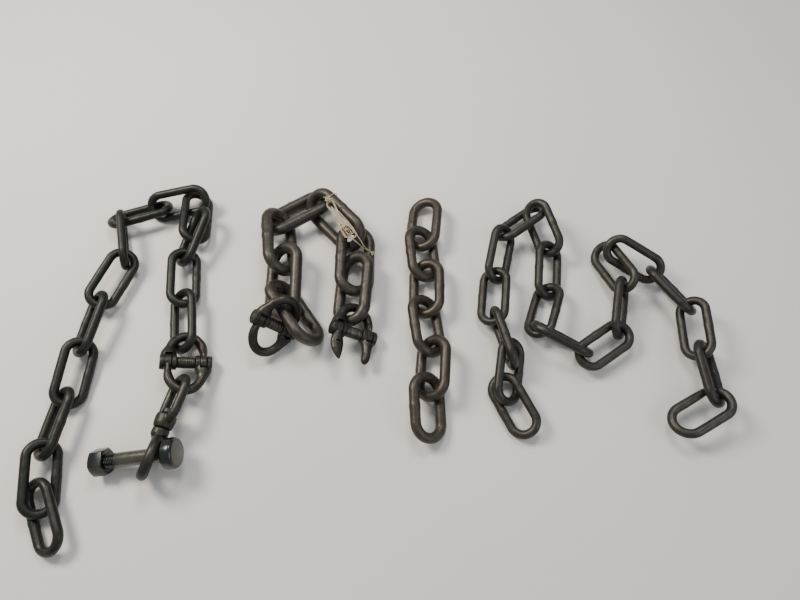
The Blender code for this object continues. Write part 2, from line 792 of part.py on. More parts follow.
def above(spot, pieces):
    """A point over the given spot, just clear of what lies under it."""
    ball = np.array([[*spot, HANK_LENGTH, TWINE / 2 + TWINE]])
    while ball[0, 2] > TWINE * 2 and clear_of(ball - (0, 0, TWINE / 2, 0), pieces) >= 0:
        ball[0, 2] -= TWINE / 2
    return ball[0, :3]


def twine_route(link, hank, pieces):
    """The points that the twine passes: a loop round the link's bar, the hank and the tail."""
    middle = link.at(LOOP_ALONG - link.shape.back, link.shape.back_bend)
    outward = link.across
    normal = np.cross(link.along, link.across)
    reach = HEAVY_BAR / 2 + LOOP_CLEAR * TWINE
    start = -hank.shape.back
    over = (HANK_THICKNESS + TWINE) / 2 + TWINE / 2
    knot = hank.at(start - 3 * TWINE, -2 * TWINE, over)
    toward = atan2((knot - middle) @ normal, (knot - middle) @ outward)
    sweep = [toward + 2 * pi * (i + 1) / LOOP_STEPS for i in range(LOOP_STEPS - 1)]
    loop = [middle + reach * (cos(a) * outward + sin(a) * normal) for a in sweep]
    run = [hank.at(x, TWINE, over) for x in np.linspace(start, hank.shape.front, 5)]
    end = above(TAIL_AT, pieces)
    slope = (run[-1] + end) / 2 + (0, 0, 2 * TWINE)
    return [knot] + loop + run + [slope, end]


def smooth_line(points, step):
    """Points a step apart on a smooth curve through the given points."""
    points = [np.array(p) for p in points]
    points = [2 * points[0] - points[1]] + points + [2 * points[-1] - points[-2]]
    line = []
    for before, start, end, after in zip(points, points[1:], points[2:], points[3:]):
        pieces = max(1, round(np.linalg.norm(end - start) / step))
        for i in range(pieces):
            t = i / pieces
            line.append(0.5 * (2 * start + (end - before) * t
                               + (2 * before - 5 * start + 4 * end - after) * t ** 2
                               + (3 * start - before - 3 * end + after) * t ** 3))
    line.append(points[-2])
    return line


def opened_outline(bar, pitch, inner_width, opening):
    """Centreline of a link whose back bend has sprung open, from one end of the gap to the other."""
    outline, straight, bend = link_outline(bar, pitch, inner_width)
    count = len(outline)
    first = count - 2
    run = [np.array(outline[(first + i) % count]) for i in range(count)]
    step = run[0] - run[-1]
    length = np.linalg.norm(step)
    run[0] = run[0] - step / length * (length + opening - bar)
    return [(x, y, 0) for x, y in run]


def centred(collection):
    """Moves the pieces so that their box stands on the floor with its middle over the origin."""
    bpy.context.view_layer.update()
    graph = bpy.context.evaluated_depsgraph_get()
    corners = []
    for thing in collection.objects:
        shape = thing.evaluated_get(graph).to_mesh()
        places = np.empty(len(shape.vertices) * 3)
        shape.vertices.foreach_get("co", places)
        turn = np.array(thing.matrix_world)
        places = places.reshape(-1, 3) @ turn[:3, :3].T + turn[:3, 3]
        corners += [places.min(0), places.max(0)]
    low, high = np.min(corners, 0), np.max(corners, 0)
    middle = Vector(((low[0] + high[0]) / 2, (low[1] + high[1]) / 2, low[2]))
    for thing in collection.objects:
        thing.location -= middle


def add_links(collection, name, pieces, outline, bar, material):
    curve = bar_curve(name, [(x, y, 0) for x, y in outline], bar / 2, True)
    for number, piece in enumerate(pieces, 1):
        add_object(f"{name}_{number:02d}", curve, collection, piece.matrix(), material)


def folded(piece, angle):
    """A coupling's piece turned about its pin."""
    turn = radians(angle)
    along = piece.along * cos(turn) + np.cross(piece.across, piece.along) * sin(turn)
    return Piece(piece.shape, piece.origin, along, piece.across)


def add_left_fittings(collection, coupling, swivel, materials):
    """The coupling, the swivel and the bolt at the end of the left chain."""
    coupling_steel, pin_steel, swivel_steel, bolt_steel = materials
    back, front = coupling_matrices(coupling)
    half = coupling_half_mesh()
    add_object("left_coupling_upper_half", half, collection, back, coupling_steel)
    add_object("left_coupling_lower_half", half, collection, front, coupling_steel)
    add_object("left_coupling_pin", pin_mesh(), collection, front, pin_steel)
    along, across = axes(SWIVEL_LAY.heading, SWIVEL_LAY.nose, EYE_LEAN)
    eye = Piece(swivel.shape, swivel.origin, along, across)
    add_object("swivel_bow", swivel_bow_mesh(), collection, swivel.matrix(), swivel_steel)
    add_object("swivel_eye", swivel_eye_mesh(), collection, eye.matrix(), swivel_steel)
    origin, along = bolt_frame(swivel, eye)
    up = np.array([0.0, 0.0, 1.0])
    bolt = add_object("bolt", turned("bolt", bolt_outline()), collection,
                      frame_matrix(origin, along, up), bolt_steel)
    add_screw(bolt)
    nut = frame_matrix(origin + along * nut_middle(), along, up)
    add_object("bolt_nut", nut_mesh(), collection, nut, bolt_steel)


def add_heavy_fittings(collection, end, material, pin_material):
    """The whole coupling at the start of the heavy chain and the broken one at its end."""
    half = coupling_half_mesh()
    pin = pin_mesh()
    lay = HEAVY_START_COUPLING_LAY
    along, across = axes(lay.heading, lay.nose, lay.lean)
    height = floor_height(folded(Piece(end.shape, (0, 0, 0), along, across), BACK_FOLD).balls)
    hinge = Piece(end.shape, (*HEAVY_START_COUPLING_AT, height), along, across)
    back = coupling_matrices(folded(hinge, BACK_FOLD))[0]
    front = coupling_matrices(folded(hinge, FRONT_FOLD))[1]
    add_object("heavy_start_coupling_upper_half", half, collection, back, material)
    add_object("heavy_start_coupling_lower_half", half, collection, front, material)
    add_object("heavy_start_coupling_pin", pin, collection, front, pin_material)
    back, front = coupling_matrices(end)
    left_stub = stub_mesh("left_stub", -1, False, LEFT_STUB_LENGTH, LEFT_STUB_WIDTHS)
    right_stub = stub_mesh("right_stub", 1, True, RIGHT_STUB_LENGTH, RIGHT_STUB_WIDTHS)
    add_object("heavy_end_coupling_half", half, collection, back, material)
    add_object("heavy_end_coupling_left_stub", left_stub, collection, front, material)
    add_object("heavy_end_coupling_right_stub", right_stub, collection, front, material)
    add_object("heavy_end_coupling_pin", pin, collection, front, pin_material)


def add_twine(collection, heavy, material):
    """The hank on the heavy chain, and the twine that ties it."""
    hank = rested(hank_shape(), HANK_LAY, HANK_AT, heavy)
    add_object("twine_hank", hank_curve(), collection, hank.matrix(), material)
    route = twine_route(heavy[TWINE_LINK - 1], hank, heavy)
    line = smooth_line(route, TWINE * TWINE_STEP)
    curve = bar_curve("twine", line, TWINE / 2, False)
    add_object("twine", curve, collection, Matrix.Identity(4), material)


def build():
    clear_scene()
    heap = new_collection("chain_heap")

    left_steel = steel("left_chain_steel", (0.050, 0.052, 0.045), 0.55)
    heavy_steel = steel("heavy_chain_steel", (0.085, 0.080, 0.068), 0.50)
    straight_steel = steel("straight_chain_steel", (0.075, 0.070, 0.062), 0.50)
    right_steel = steel("right_chain_steel", (0.062, 0.062, 0.060), 0.50)
    coupling_steel = steel("coupling_steel", (0.090, 0.080, 0.062), 0.50)
    pin_steel = steel("coupling_pin_steel", (0.200, 0.195, 0.180), 0.35)
    swivel_steel = steel("swivel_steel", (0.055, 0.055, 0.050), 0.50)
    bolt_steel = steel("bolt_steel", (0.030, 0.032, 0.030), 0.25)
    twine_fibre = fibre("twine_fibre", (0.70, 0.62, 0.48))

    left_size = (LEFT_BAR, LEFT_PITCH, LEFT_INNER_WIDTH)
    heavy_size = (HEAVY_BAR, HEAVY_PITCH, HEAVY_INNER_WIDTH)
    straight_size = (STRAIGHT_BAR, STRAIGHT_PITCH, STRAIGHT_INNER_WIDTH)
    right_size = (RIGHT_BAR, RIGHT_PITCH, RIGHT_INNER_WIDTH)
    end_size = (RIGHT_BAR, RIGHT_PITCH, END_LINK_INNER_WIDTH)

    coupling = coupling_shape()
    swivel = swivel_shape(SWIVEL_LAY.lean, EYE_LEAN)
    left_shapes = [link_shape(*left_size)] * len(LEFT_LAYS) + [coupling, swivel]
    left = lay_chain(left_shapes, LEFT_START, LEFT_LAYS + (LEFT_COUPLING_LAY, SWIVEL_LAY))
    heavy_shapes = [link_shape(*heavy_size)] * len(HEAVY_LAYS) + [coupling]
    heavy = lay_chain(heavy_shapes, HEAVY_START, HEAVY_LAYS + (HEAVY_END_COUPLING_LAY,))
    straight = lay_chain([link_shape(*straight_size)] * len(STRAIGHT_LAYS), STRAIGHT_START,
                         STRAIGHT_LAYS)
    right_shapes = [link_shape(*right_size)] * (len(RIGHT_LAYS) - 1) + [link_shape(*end_size)]
    right = lay_chain(right_shapes, RIGHT_START, RIGHT_LAYS)

    add_links(heap, "left_chain_link", left[:-2], link_outline(*left_size)[0], LEFT_BAR, left_steel)
    add_links(heap, "heavy_chain_link", heavy[:-1], link_outline(*heavy_size)[0], HEAVY_BAR, heavy_steel)
    add_links(heap, "straight_chain_link", straight, link_outline(*straight_size)[0], STRAIGHT_BAR,
              straight_steel)
    add_links(heap, "right_chain_link", right[:-1], link_outline(*right_size)[0], RIGHT_BAR, right_steel)
    sprung = bar_curve("sprung_link", opened_outline(*end_size, END_LINK_OPENING), RIGHT_BAR / 2, False)
    add_object(f"right_chain_link_{len(right):02d}", sprung, heap, right[-1].matrix(), right_steel)

    add_left_fittings(heap, left[-2], left[-1], (coupling_steel, pin_steel, swivel_steel, bolt_steel))
    add_heavy_fittings(heap, heavy[-1], coupling_steel, pin_steel)
    add_twine(heap, heavy[:-1], twine_fibre)
    centred(heap)
    return heap, left, heavy, straight, right


build()
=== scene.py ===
from math import atan2, ceil, cos, pi, radians, sin, sqrt

import bpy
import numpy as np
from mathutils import Matrix, Vector


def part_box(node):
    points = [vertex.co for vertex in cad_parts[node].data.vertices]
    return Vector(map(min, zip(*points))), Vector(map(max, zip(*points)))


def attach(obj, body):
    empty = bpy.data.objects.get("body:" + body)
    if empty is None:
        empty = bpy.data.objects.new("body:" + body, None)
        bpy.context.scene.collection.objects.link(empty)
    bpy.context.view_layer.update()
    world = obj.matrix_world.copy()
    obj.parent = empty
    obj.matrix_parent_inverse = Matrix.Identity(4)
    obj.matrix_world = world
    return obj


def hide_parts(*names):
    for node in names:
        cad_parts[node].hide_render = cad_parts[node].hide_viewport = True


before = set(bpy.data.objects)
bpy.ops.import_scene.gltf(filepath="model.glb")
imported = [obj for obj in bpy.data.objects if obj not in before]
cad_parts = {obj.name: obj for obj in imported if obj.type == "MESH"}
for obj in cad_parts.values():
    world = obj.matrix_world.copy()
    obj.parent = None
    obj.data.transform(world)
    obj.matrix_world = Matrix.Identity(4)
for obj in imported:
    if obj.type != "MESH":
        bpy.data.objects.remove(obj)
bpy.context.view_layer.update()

bl_info = {
    "name": "Heap of steel chain",
    "version": (1, 0, 0),
    "blender": (4, 5, 0),
    "location": "3D View > Sidebar > Chain",
    "description": "Dresses four lengths of steel chain, their couplings, swivel, bolt and twine",
    "category": "Object",
}


# ---- Small helpers -------------------------------------------------------------------------


def linear(code):
    """An sRGB hex colour as linear red, green and blue."""
    values = [int(code[i : i + 2], 16) / 255 for i in (1, 3, 5)]
    return tuple(v / 12.92 if v <= 0.04045 else ((v + 0.055) / 1.055) ** 2.4 for v in values)


def per_mm(size):
    """The noise scale whose features are that many millimetres across."""
    return 1000.0 / size


def fill_inputs(material, node, inputs):
    """Sets a node's inputs to values, or links them to other nodes' outputs."""
    for name, value in inputs.items():
        if isinstance(value, bpy.types.NodeSocket):
            material.node_tree.links.new(value, node.inputs[name])
        else:
            node.inputs[name].default_value = value


def add_node(material, kind, settings=None, inputs=None):
    """One node with its settings, and its inputs as values or other nodes' outputs."""
    made = material.node_tree.nodes.new(kind)
    for name, value in (settings or {}).items():
        setattr(made, name, value)
    fill_inputs(material, made, inputs or {})
    return made


def deselect_all():
    if bpy.context.mode != "OBJECT":
        bpy.ops.object.mode_set(mode="OBJECT")
    bpy.ops.object.select_all(action="DESELECT")


def select_only(thing):
    deselect_all()
    thing.select_set(True)
    bpy.context.view_layer.objects.active = thing


def object_mode():
    bpy.ops.object.mode_set(mode="OBJECT")


def pick(thing, kind, test):
    """Selects the vertices, edges or faces whose middle passes the test. Leaves edit mode open."""
    object_mode()
    bpy.context.tool_settings.mesh_select_mode = [kind == each for each in ("VERT", "EDGE", "FACE")]
    mesh = thing.data
    items = {"VERT": mesh.vertices, "EDGE": mesh.edges, "FACE": mesh.polygons}[kind]
    for every in (mesh.vertices, mesh.edges, mesh.polygons):
        every.foreach_set("select", [False] * len(every))
    for item in items:
        item.select = bool(test(item))
    bpy.ops.object.mode_set(mode="EDIT")


def merge_and_face_outwards():
    """Merges doubles and turns the faces outwards, in edit mode."""
    bpy.ops.mesh.select_all(action="SELECT")
    bpy.ops.mesh.remove_doubles(threshold=0.00002)
    bpy.ops.mesh.normals_make_consistent(inside=False)


def apply_modifier(thing, kind, **settings):
    select_only(thing)
    modifier = thing.modifiers.new(kind.lower(), kind)
    for name, value in settings.items():
        setattr(modifier, name, value)
    bpy.ops.object.modifier_apply(modifier=modifier.name)


def cut(thing, tool, operation="DIFFERENCE"):
    """Cuts a closed tool from a piece, or joins it on, and removes the tool."""
    apply_modifier(thing, "BOOLEAN", operation=operation, object=tool)
    bpy.data.objects.remove(tool, do_unlink=True)


def joined(things):
    """Several objects as one, the first."""
    deselect_all()
    for thing in things:
        thing.select_set(True)
    bpy.context.view_layer.objects.active = things[0]
    bpy.ops.object.join()
    return things[0]


def smooth_shaded(thing, angle):
    select_only(thing)
    bpy.ops.object.shade_smooth_by_angle(angle=radians(angle))


def apply_place():
    """Leaves the active object's place in its mesh."""
    bpy.ops.object.transform_apply(location=True, rotation=True, scale=True)


def placed(thing, matrix):
    """Moves a piece to its place and leaves that place in its mesh."""
    thing.matrix_world = matrix
    select_only(thing)
    apply_place()


def own_copy(master, name):
    """A copy with its own mesh."""
    made = master.copy()
    made.data = master.data.copy()
    made.name = made.data.name = name
    bpy.context.scene.collection.objects.link(made)
    return made


def finished(thing, slot, *nodes):
    """Gives a piece the material of its slot, hides the CAD nodes it stands for, and attaches it to
    the root.
    """
    thing.data.materials.clear()
    thing.data.materials.append(heap_material(slot))
    if nodes:
        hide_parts(*nodes)
    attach(thing, "root")
    return thing


def dressed(piece, slot, node, matrix, angle, lumps=1.0, wear_and_highlight=0.0):
    """Brings a piece to its node's place and finishes it, with its share of the usual lumps. Wear,
    which also paints a highlight on the faces that look up, is for a piece whose mesh doesn't have
    its own."""
    placed(piece, matrix)
    if lumps:
        shapes = bpy.context.scene.heap_shapes
        uneven(piece, shapes.lump_height * lumps, shapes.lump_width)
    if wear_and_highlight:
        add_ridge_wear_and_highlight(piece, wear_and_highlight)
    smooth_shaded(piece, angle)
    finished(piece, slot, node)


# ---- Modelling -----------------------------------------------------------------------------


def turned(name, profile, steps=48):
    """A round piece about X, spun from its profile of (x, radius) points."""
    deselect_all()
    bpy.ops.mesh.primitive_plane_add(size=0.001, location=(0, 0, 0))
    piece = bpy.context.active_object
    piece.name = name
    bpy.ops.object.mode_set(mode="EDIT")
    bpy.ops.mesh.select_mode(type="VERT")
    bpy.ops.mesh.select_all(action="SELECT")
    bpy.ops.mesh.merge(type="CENTER")
    bpy.ops.mesh.select_all(action="SELECT")
    bpy.ops.transform.translate(value=(profile[0][0], profile[0][1], 0))
    for (x, radius), (next_x, next_radius) in zip(profile, profile[1:]):
        move = {"value": (next_x - x, next_radius - radius, 0)}
        bpy.ops.mesh.extrude_vertices_move(TRANSFORM_OT_translate=move)
    bpy.ops.mesh.select_all(action="SELECT")
    bpy.ops.mesh.spin(steps=steps, angle=2 * pi, center=(0, 0, 0), axis=(1, 0, 0))
    merge_and_face_outwards()
    object_mode()
    return piece


def swept(name, path, widths, heights, sides=20):
    """A bar extruded along a path in the XY plane, with half its width and height at each point."""
    path = [np.array(p, float) for p in path]
    count = len(path)
    ways = [path[min(i + 1, count - 1)] - path[max(i - 1, 0)] for i in range(count)]
    turns = [atan2(way[1], way[0]) for way in ways]
    deselect_all()
    bpy.ops.mesh.primitive_circle_add(vertices=sides, radius=1.0, fill_type="NGON",
                                      rotation=(0, pi / 2, 0))
    bar = bpy.context.active_object
    bar.name = name
    apply_place()
    bpy.ops.object.mode_set(mode="EDIT")
    bpy.ops.mesh.select_mode(type="FACE")
    bpy.ops.mesh.select_all(action="SELECT")
    bpy.ops.transform.resize(value=(1, widths[0], heights[0]), center_override=(0, 0, 0))
    bpy.ops.transform.rotate(value=-turns[0], orient_axis="Z", center_override=(0, 0, 0))
    bpy.ops.transform.translate(value=(*path[0], 0))
    for i in range(1, count):
        step = path[i] - path[i - 1]
        spot = (*path[i], 0)
        turn = (turns[i] - turns[i - 1] + pi) % (2 * pi) - pi
        wider = widths[i] / widths[i - 1]
        higher = heights[i] / heights[i - 1]
        bpy.ops.mesh.extrude_region_move(TRANSFORM_OT_translate={"value": (*step, 0)})
        bpy.ops.transform.rotate(value=-turn, orient_axis="Z", center_override=spot)
        bpy.ops.transform.resize(value=(wider, wider, higher), center_override=spot)
    merge_and_face_outwards()
    object_mode()
    return bar


def forged(piece, voxel, passes):
    """Fuses overlapping forms into one skin with soft inner corners, as a forging has."""
    apply_modifier(piece, "REMESH", mode="VOXEL", voxel_size=voxel, use_smooth_shade=True)
    apply_modifier(piece, "SMOOTH", factor=0.5, iterations=passes)


def rod(low, high, radius):
    """A plain round bar about X, used as a cutting tool."""
    return turned("rod", [(low, 0), (low, radius), (high, radius), (high, 0)])


def block(low, high):
    """A box between two corners, used as a cutting tool."""
    low, high = Vector(low), Vector(high)
    deselect_all()
    bpy.ops.mesh.primitive_cube_add(size=1, location=(low + high) / 2, scale=high - low)
    apply_place()
    return bpy.context.active_object


def uneven(thing, height, width):
    """Gives a forged skin its slight lumps. Places are in metres, so each piece gets its own."""
    name = "forging lumps"
    lumps = bpy.data.textures.get(name) or bpy.data.textures.new(name, "CLOUDS")
    lumps.noise_scale = width
    apply_modifier(thing, "DISPLACE", texture=lumps, texture_coords="GLOBAL", strength=height,
                   mid_level=0.5)


def write_wear_and_highlight(thing, values):
    # Where a piece is worn, and on most pieces also a painted highlight on the faces that look up,
    # as a share from 0 to 1
    wear_and_highlight = thing.data.attributes.new("wear_and_highlight", "FLOAT", "POINT")
    wear_and_highlight.data.foreach_set("value", np.array(values, dtype=np.float32))


def vertex_data(thing):
    """Places and normals of a mesh's vertices."""
    mesh = thing.data
    places = np.empty(len(mesh.vertices) * 3)
    normals = np.empty(len(mesh.vertices) * 3)
    mesh.vertices.foreach_get("co", places)
    mesh.vertices.foreach_get("normal", normals)
    return places.reshape(-1, 3), normals.reshape(-1, 3)


def add_ridge_wear_and_highlight(thing, share):
    """Bare metal on the faces that look up or down: rub wear underneath, where a piece lies on the
    floor and on others, and a painted highlight on the faces that look up.
    """
    normals = vertex_data(thing)[1]
    # Faces that look up get this as a painted highlight, faces that look down as wear
    write_wear_and_highlight(thing, share * np.abs(normals[:, 2]) ** 2)


def eased(value, low, high):
    """0 below low, 1 above high, and a smooth rise between."""
    t = min(1.0, max(0.0, (value - low) / (high - low)))
    return t * t * (3 - 2 * t)


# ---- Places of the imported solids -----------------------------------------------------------


def triangles(name):
    """A CAD node's triangles, in metres."""
    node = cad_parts[name]
    mesh = node.data
    mesh.calc_loop_triangles()
    places = np.empty(len(mesh.vertices) * 3)
    mesh.vertices.foreach_get("co", places)
    turn = np.array(node.matrix_world)
    places = places.reshape(-1, 3) @ turn[:3, :3].T + turn[:3, 3]
    corners = np.empty(len(mesh.loop_triangles) * 3, dtype=np.int32)
    mesh.loop_triangles.foreach_get("vertices", corners)
    return places[corners].reshape(-1, 3, 3)


def skin_moments(name):
    """Middle of a CAD node's skin and its own directions, from the longest to the shortest."""
    tri = triangles(name)
    area = np.linalg.norm(np.cross(tri[:, 1] - tri[:, 0], tri[:, 2] - tri[:, 0]), axis=1) / 2
    centres = tri.mean(1)
    middle = (centres * area[:, None]).sum(0) / area.sum()
    tri, centres = tri - middle, centres - middle
    spread = np.einsum("t,tki,tkj->ij", area / 12, tri, tri)
    spread += np.einsum("t,ti,tj->ij", area * 9 / 12, centres, centres)
    values, vectors = np.linalg.eigh(spread)
    return middle, vectors[:, np.argsort(values)[::-1]].T


def frame_at(origin, x, y):
    """Matrix with x along the first direction and y as near as it can be to the second."""
    x = x / np.linalg.norm(x)
    y = y - x * (y @ x)
    y = y / np.linalg.norm(y)
    rows = np.column_stack([x, y, np.cross(x, y), origin])
    return Matrix([list(row) for row in rows] + [[0, 0, 0, 1]])


def measured(name, matrix):
    """A node's corner places in the given frame."""
    turn = np.array(matrix.inverted())
    return triangles(name).reshape(-1, 3) @ turn[:3, :3].T + turn[:3, 3]


def link_place(name):
    """A link's frame, x along it and y across, and its length, width and bar thickness."""
    middle, (along, across, _) = skin_moments(name)
    matrix = frame_at(middle, along, across)
    size = np.ptp(measured(name, matrix), axis=0)
    return matrix, size


# ---- Sizes and colours that a user may change ------------------------------------------------


def length_setting(name, description, default):
    return bpy.props.FloatProperty(name=name, description=description, default=default,
                                   unit="LENGTH")


def colour_setting(name, description, code):
    return bpy.props.FloatVectorProperty(name=name, description=description, subtype="COLOR",
                                         size=3, min=0, max=1, default=linear(code))


class HeapShapeSettings(bpy.types.PropertyGroup):
    """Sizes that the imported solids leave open."""

    weld_swell: bpy.props.FloatProperty(
        name="Weld swell", description="How much thicker a link is at its weld",
        default=1.07, min=1.0, max=1.2)
    weld_reach: length_setting("Weld reach", "Half the length of the swelling at a weld", 0.009)
    lump_height: length_setting("Lump height", "How uneven the forged skin is", 0.0006)
    lump_width: length_setting("Lump width", "How far apart the lumps of the forged skin are",
                               0.011)
    thread_pitch: length_setting("Thread pitch",
                                 "Distance between the turns of the bolt's thread", 0.003)
    thread_length: length_setting("Thread length", "How much of the shank is threaded", 0.046)
    twine_diameter: length_setting("Twine diameter", "Thickness of the twine", 0.0016)
    twine_twist: length_setting("Twine twist",
                                "Length in which the twine's two plies turn once", 0.007)


class HeapColourSettings(bpy.types.PropertyGroup):
    """Colours of the finishes."""

    left_steel: colour_setting("Left chain", "Darkest steel, of the left chain and the swivel",
                               "#242622")
    heavy_steel: colour_setting("Heavy chain", "Scaled steel of the heavy chain", "#363430")
    straight_steel: colour_setting("Straight chain", "Scaled steel of the straight chain",
                                   "#393530")
    right_steel: colour_setting("Right chain", "Scaled steel of the right chain", "#302f2c")
    coupling_steel: colour_setting("Couplings", "Oily forged steel of the couplings", "#23211e")
    pin_steel: colour_setting("Pins", "Worn steel of the coupling pins and sleeves", "#3e3b35")
    bolt_steel: colour_setting("Bolt", "Black finish of the bolt and its nut", "#101513")
    twine: colour_setting("Twine", "Undyed fibre of the twine", "#d3c5a3")
    floor: colour_setting("Floor", "Pale studio floor", "#e2ded7")


# ---- Materials -----------------------------------------------------------------------------


def new_material(name):
    """A new material, and its objects' own coordinates in metres."""
    made = bpy.data.materials.new(name)
    made.use_nodes = True
    return made, add_node(made, "ShaderNodeTexCoord").outputs["Object"]


def shade(material, inputs):
    """Fills in the material's shader."""
    fill_inputs(material, material.node_tree.nodes["Principled BSDF"], inputs)
    return material


def noise(material, place, size, detail, roughness=0.5):
    """A noise whose features are that many millimetres across."""
    return add_node(material, "ShaderNodeTexNoise",
                    inputs={"Scale": per_mm(size), "Detail": detail, "Roughness": roughness,
                            "Vector": place}).outputs["Fac"]


def ranged(material, source, low, high, start=0.0, end=1.0):
    """A value's stretch from low to high, spread over start to end."""
    return add_node(material, "ShaderNodeMapRange",
                    inputs={"From Min": low, "From Max": high, "To Min": start, "To Max": end,
                            "Value": source}).outputs["Result"]


def mixed(material, factor, below, above, blend="MIX"):
    """A colour over another. Each is three numbers or a node's output."""
    below, above = [side if isinstance(side, bpy.types.NodeSocket) else (*side, 1)
                    for side in (below, above)]
    return add_node(material, "ShaderNodeMix", {"data_type": "RGBA", "blend_type": blend},
                    {"Factor": factor, "A": below, "B": above}).outputs["Result"]


def calculated(material, operation, *values):
    """A product, or a product and a sum, held between 0 and 1."""
    return add_node(material, "ShaderNodeMath", {"operation": operation, "use_clamp": True},
                    dict(enumerate(values))).outputs["Value"]


def worn_share(material, *factors):
    """The wear attribute, which holds wear and a painted highlight on the faces that look up, times
    the given factors.
    """
    share = add_node(material, "ShaderNodeAttribute", {"attribute_name": "wear_and_highlight"}).outputs["Fac"]
    for factor in factors:
        share = calculated(material, "MULTIPLY", share, factor)
    return share


def bumped(material, height, strength, distance, below=None):
    """A bump that deep, in metres, on another where one is given."""
    inputs = {"Strength": strength, "Distance": distance, "Height": height}
    if below is not None:
        inputs["Normal"] = below
    return add_node(material, "ShaderNodeBump", inputs=inputs).outputs["Normal"]


def scaled_steel(name, colour, dust, rust, bright, rust_share, wear_share, metallic):
    """Hot-worked steel under mill scale, handled for years: dark and dull, dusty brown in patches,
    rust in the pits, and bare metal where links rub and drag, also on the faces that look up as a
    painted highlight. The wear attribute says where."""
    steel, place = new_material(name)

    # Dust and oil lie in patches of about 30 mm
    patches = ranged(steel, noise(steel, place, 30, 3), 0.36, 0.68, end=0.8)
    dusty = mixed(steel, patches, colour, dust)

    # Scale is a little uneven in tone, in spots of about 4 mm
    flakes = noise(steel, place, 4, 4)
    dark = ranged(steel, flakes, 0.3, 0.7, 0.8, 1.15)
    mottled = mixed(steel, 1.0, dusty, dark, "MULTIPLY")

    # Rust blooms about 9 mm across
    rusty = ranged(steel, noise(steel, place, 9, 5, 0.6), 0.54, 0.72, end=rust_share)
    rusted = mixed(steel, rusty, mottled, rust)

    # Bare metal shows through in smears of about 12 mm where the wear is, and as a painted
    # highlight on the faces that look up
    smears = ranged(steel, noise(steel, place, 12, 4, 0.6), 0.36, 0.66, 0.15)
    share = worn_share(steel, smears, wear_share)
    worn = mixed(steel, share, rusted, bright)

    # Scale is dull, rust duller, rubbed metal smoother
    dull = ranged(steel, flakes, 0, 1, 0.34, 0.54)
    duller = calculated(steel, "MULTIPLY_ADD", rusty, 0.3, dull)
    rough = calculated(steel, "MULTIPLY_ADD", share, -0.12, duller)

    # Forging grain of 1 mm over dents of 7 mm
    dents = bumped(steel, noise(steel, place, 7, 2), 0.4, 0.0008)
    grain = bumped(steel, noise(steel, place, 1.1, 3), 0.2, 0.0002, dents)
    return shade(steel, {"Metallic": metallic, "Base Color": worn, "Roughness": rough,
                         "Normal": grain})


def blackened_bolt_steel(name, colour):
    """Machined steel with an oiled black oxide: smooth and glossy, and rubbed to a greenish brown
    along the shank."""
    steel, place = new_material(name)
    smears = noise(steel, place, 14, 3)
    share = worn_share(steel, ranged(steel, smears, 0.3, 0.6, 0.55))
    grain = noise(steel, place, 1.5, 3)
    return shade(steel, {"Metallic": 0.25, "Coat Weight": 0.4, "Coat Roughness": 0.12,
                         "Base Color": mixed(steel, share, colour, linear("#545145")),
                         "Roughness": ranged(steel, smears, 0, 1, 0.16, 0.36),
                         "Normal": bumped(steel, grain, 0.15, 0.0002)})


def undyed_twine(name, colour):
    """Twisted undyed fibre: dull and cream, and darker where hands have soiled it."""
    fibre, place = new_material(name)
    soiled = ranged(fibre, noise(fibre, place, 14, 3), 0.4, 0.75)
    tint = mixed(fibre, soiled, colour, linear("#a8946a"))
    # Fibres of 0.4 mm, as fine as the render can show
    hairs = noise(fibre, place, 0.4, 2)
    streaky = mixed(fibre, 1.0, tint, ranged(fibre, hairs, 0, 1, 0.7, 1.15), "MULTIPLY")
    return shade(fibre, {"Roughness": 0.9, "Sheen Weight": 0.3, "Sheen Roughness": 0.5,
                         "Base Color": streaky, "Normal": bumped(fibre, hairs, 0.5, 0.0002)})


def studio_floor(name, colour):
    """Matt painted board, pale, with a faint change of tone over half a metre."""
    board, place = new_material(name)
    tone = noise(board, place, 500, 2)
    paint = mixed(board, tone, colour, [0.93 * c for c in colour])
    return shade(board, {"Roughness": 0.85, "Base Color": paint})


# Each scaled steel: its colour's setting, its dust, rust and bare metal, how much of it may be rust
# and how much bare metal, as wear and painted highlight, and how metallic it is
SCALED_STEELS = {
    "left_chain_steel": ("left_steel", "#1f211d", "#4a2e1c", "#494d46", 0.15, 0.6, 0.6),
    "heavy_chain_steel": ("heavy_steel", "#3a322a", "#4a2e1c", "#6e6961", 0.35, 0.8, 0.6),
    "straight_chain_steel": ("straight_steel", "#3a322a", "#4a2e1c", "#68635b", 0.35, 0.7, 0.6),
    "right_chain_steel": ("right_steel", "#2f2a25", "#4a2e1c", "#615d56", 0.25, 0.7, 0.6),
    "coupling_steel": ("coupling_steel", "#2a2520", "#482f1c", "#4f4b44", 0.3, 0.7, 0.6),
    "coupling_pin_steel": ("pin_steel", "#302c26", "#4a2e1c", "#6f6b62", 0.25, 0.8, 0.8),
    "swivel_steel": ("left_steel", "#28241e", "#4a2e1c", "#504e46", 0.3, 0.6, 0.6),
}
OTHER_FINISHES = {"bolt_steel": (blackened_bolt_steel, "bolt_steel"),
                  "twine_fibre": (undyed_twine, "twine"), "floor": (studio_floor, "floor")}


def heap_material(slot):
    """The material of that slot, made when first asked for."""
    name = "heap " + slot
    known = bpy.data.materials.get(name)
    if known:
        return known
    colours = bpy.context.scene.heap_colours
    if slot in SCALED_STEELS:
        setting, dust, rust, bright, *shares = SCALED_STEELS[slot]
        return scaled_steel(name, getattr(colours, setting), linear(dust), linear(rust),
                            linear(bright), *shares)
    make, setting = OTHER_FINISHES[slot]
    return make(name, getattr(colours, setting))


# ---- Stage ---------------------------------------------------------------------------------

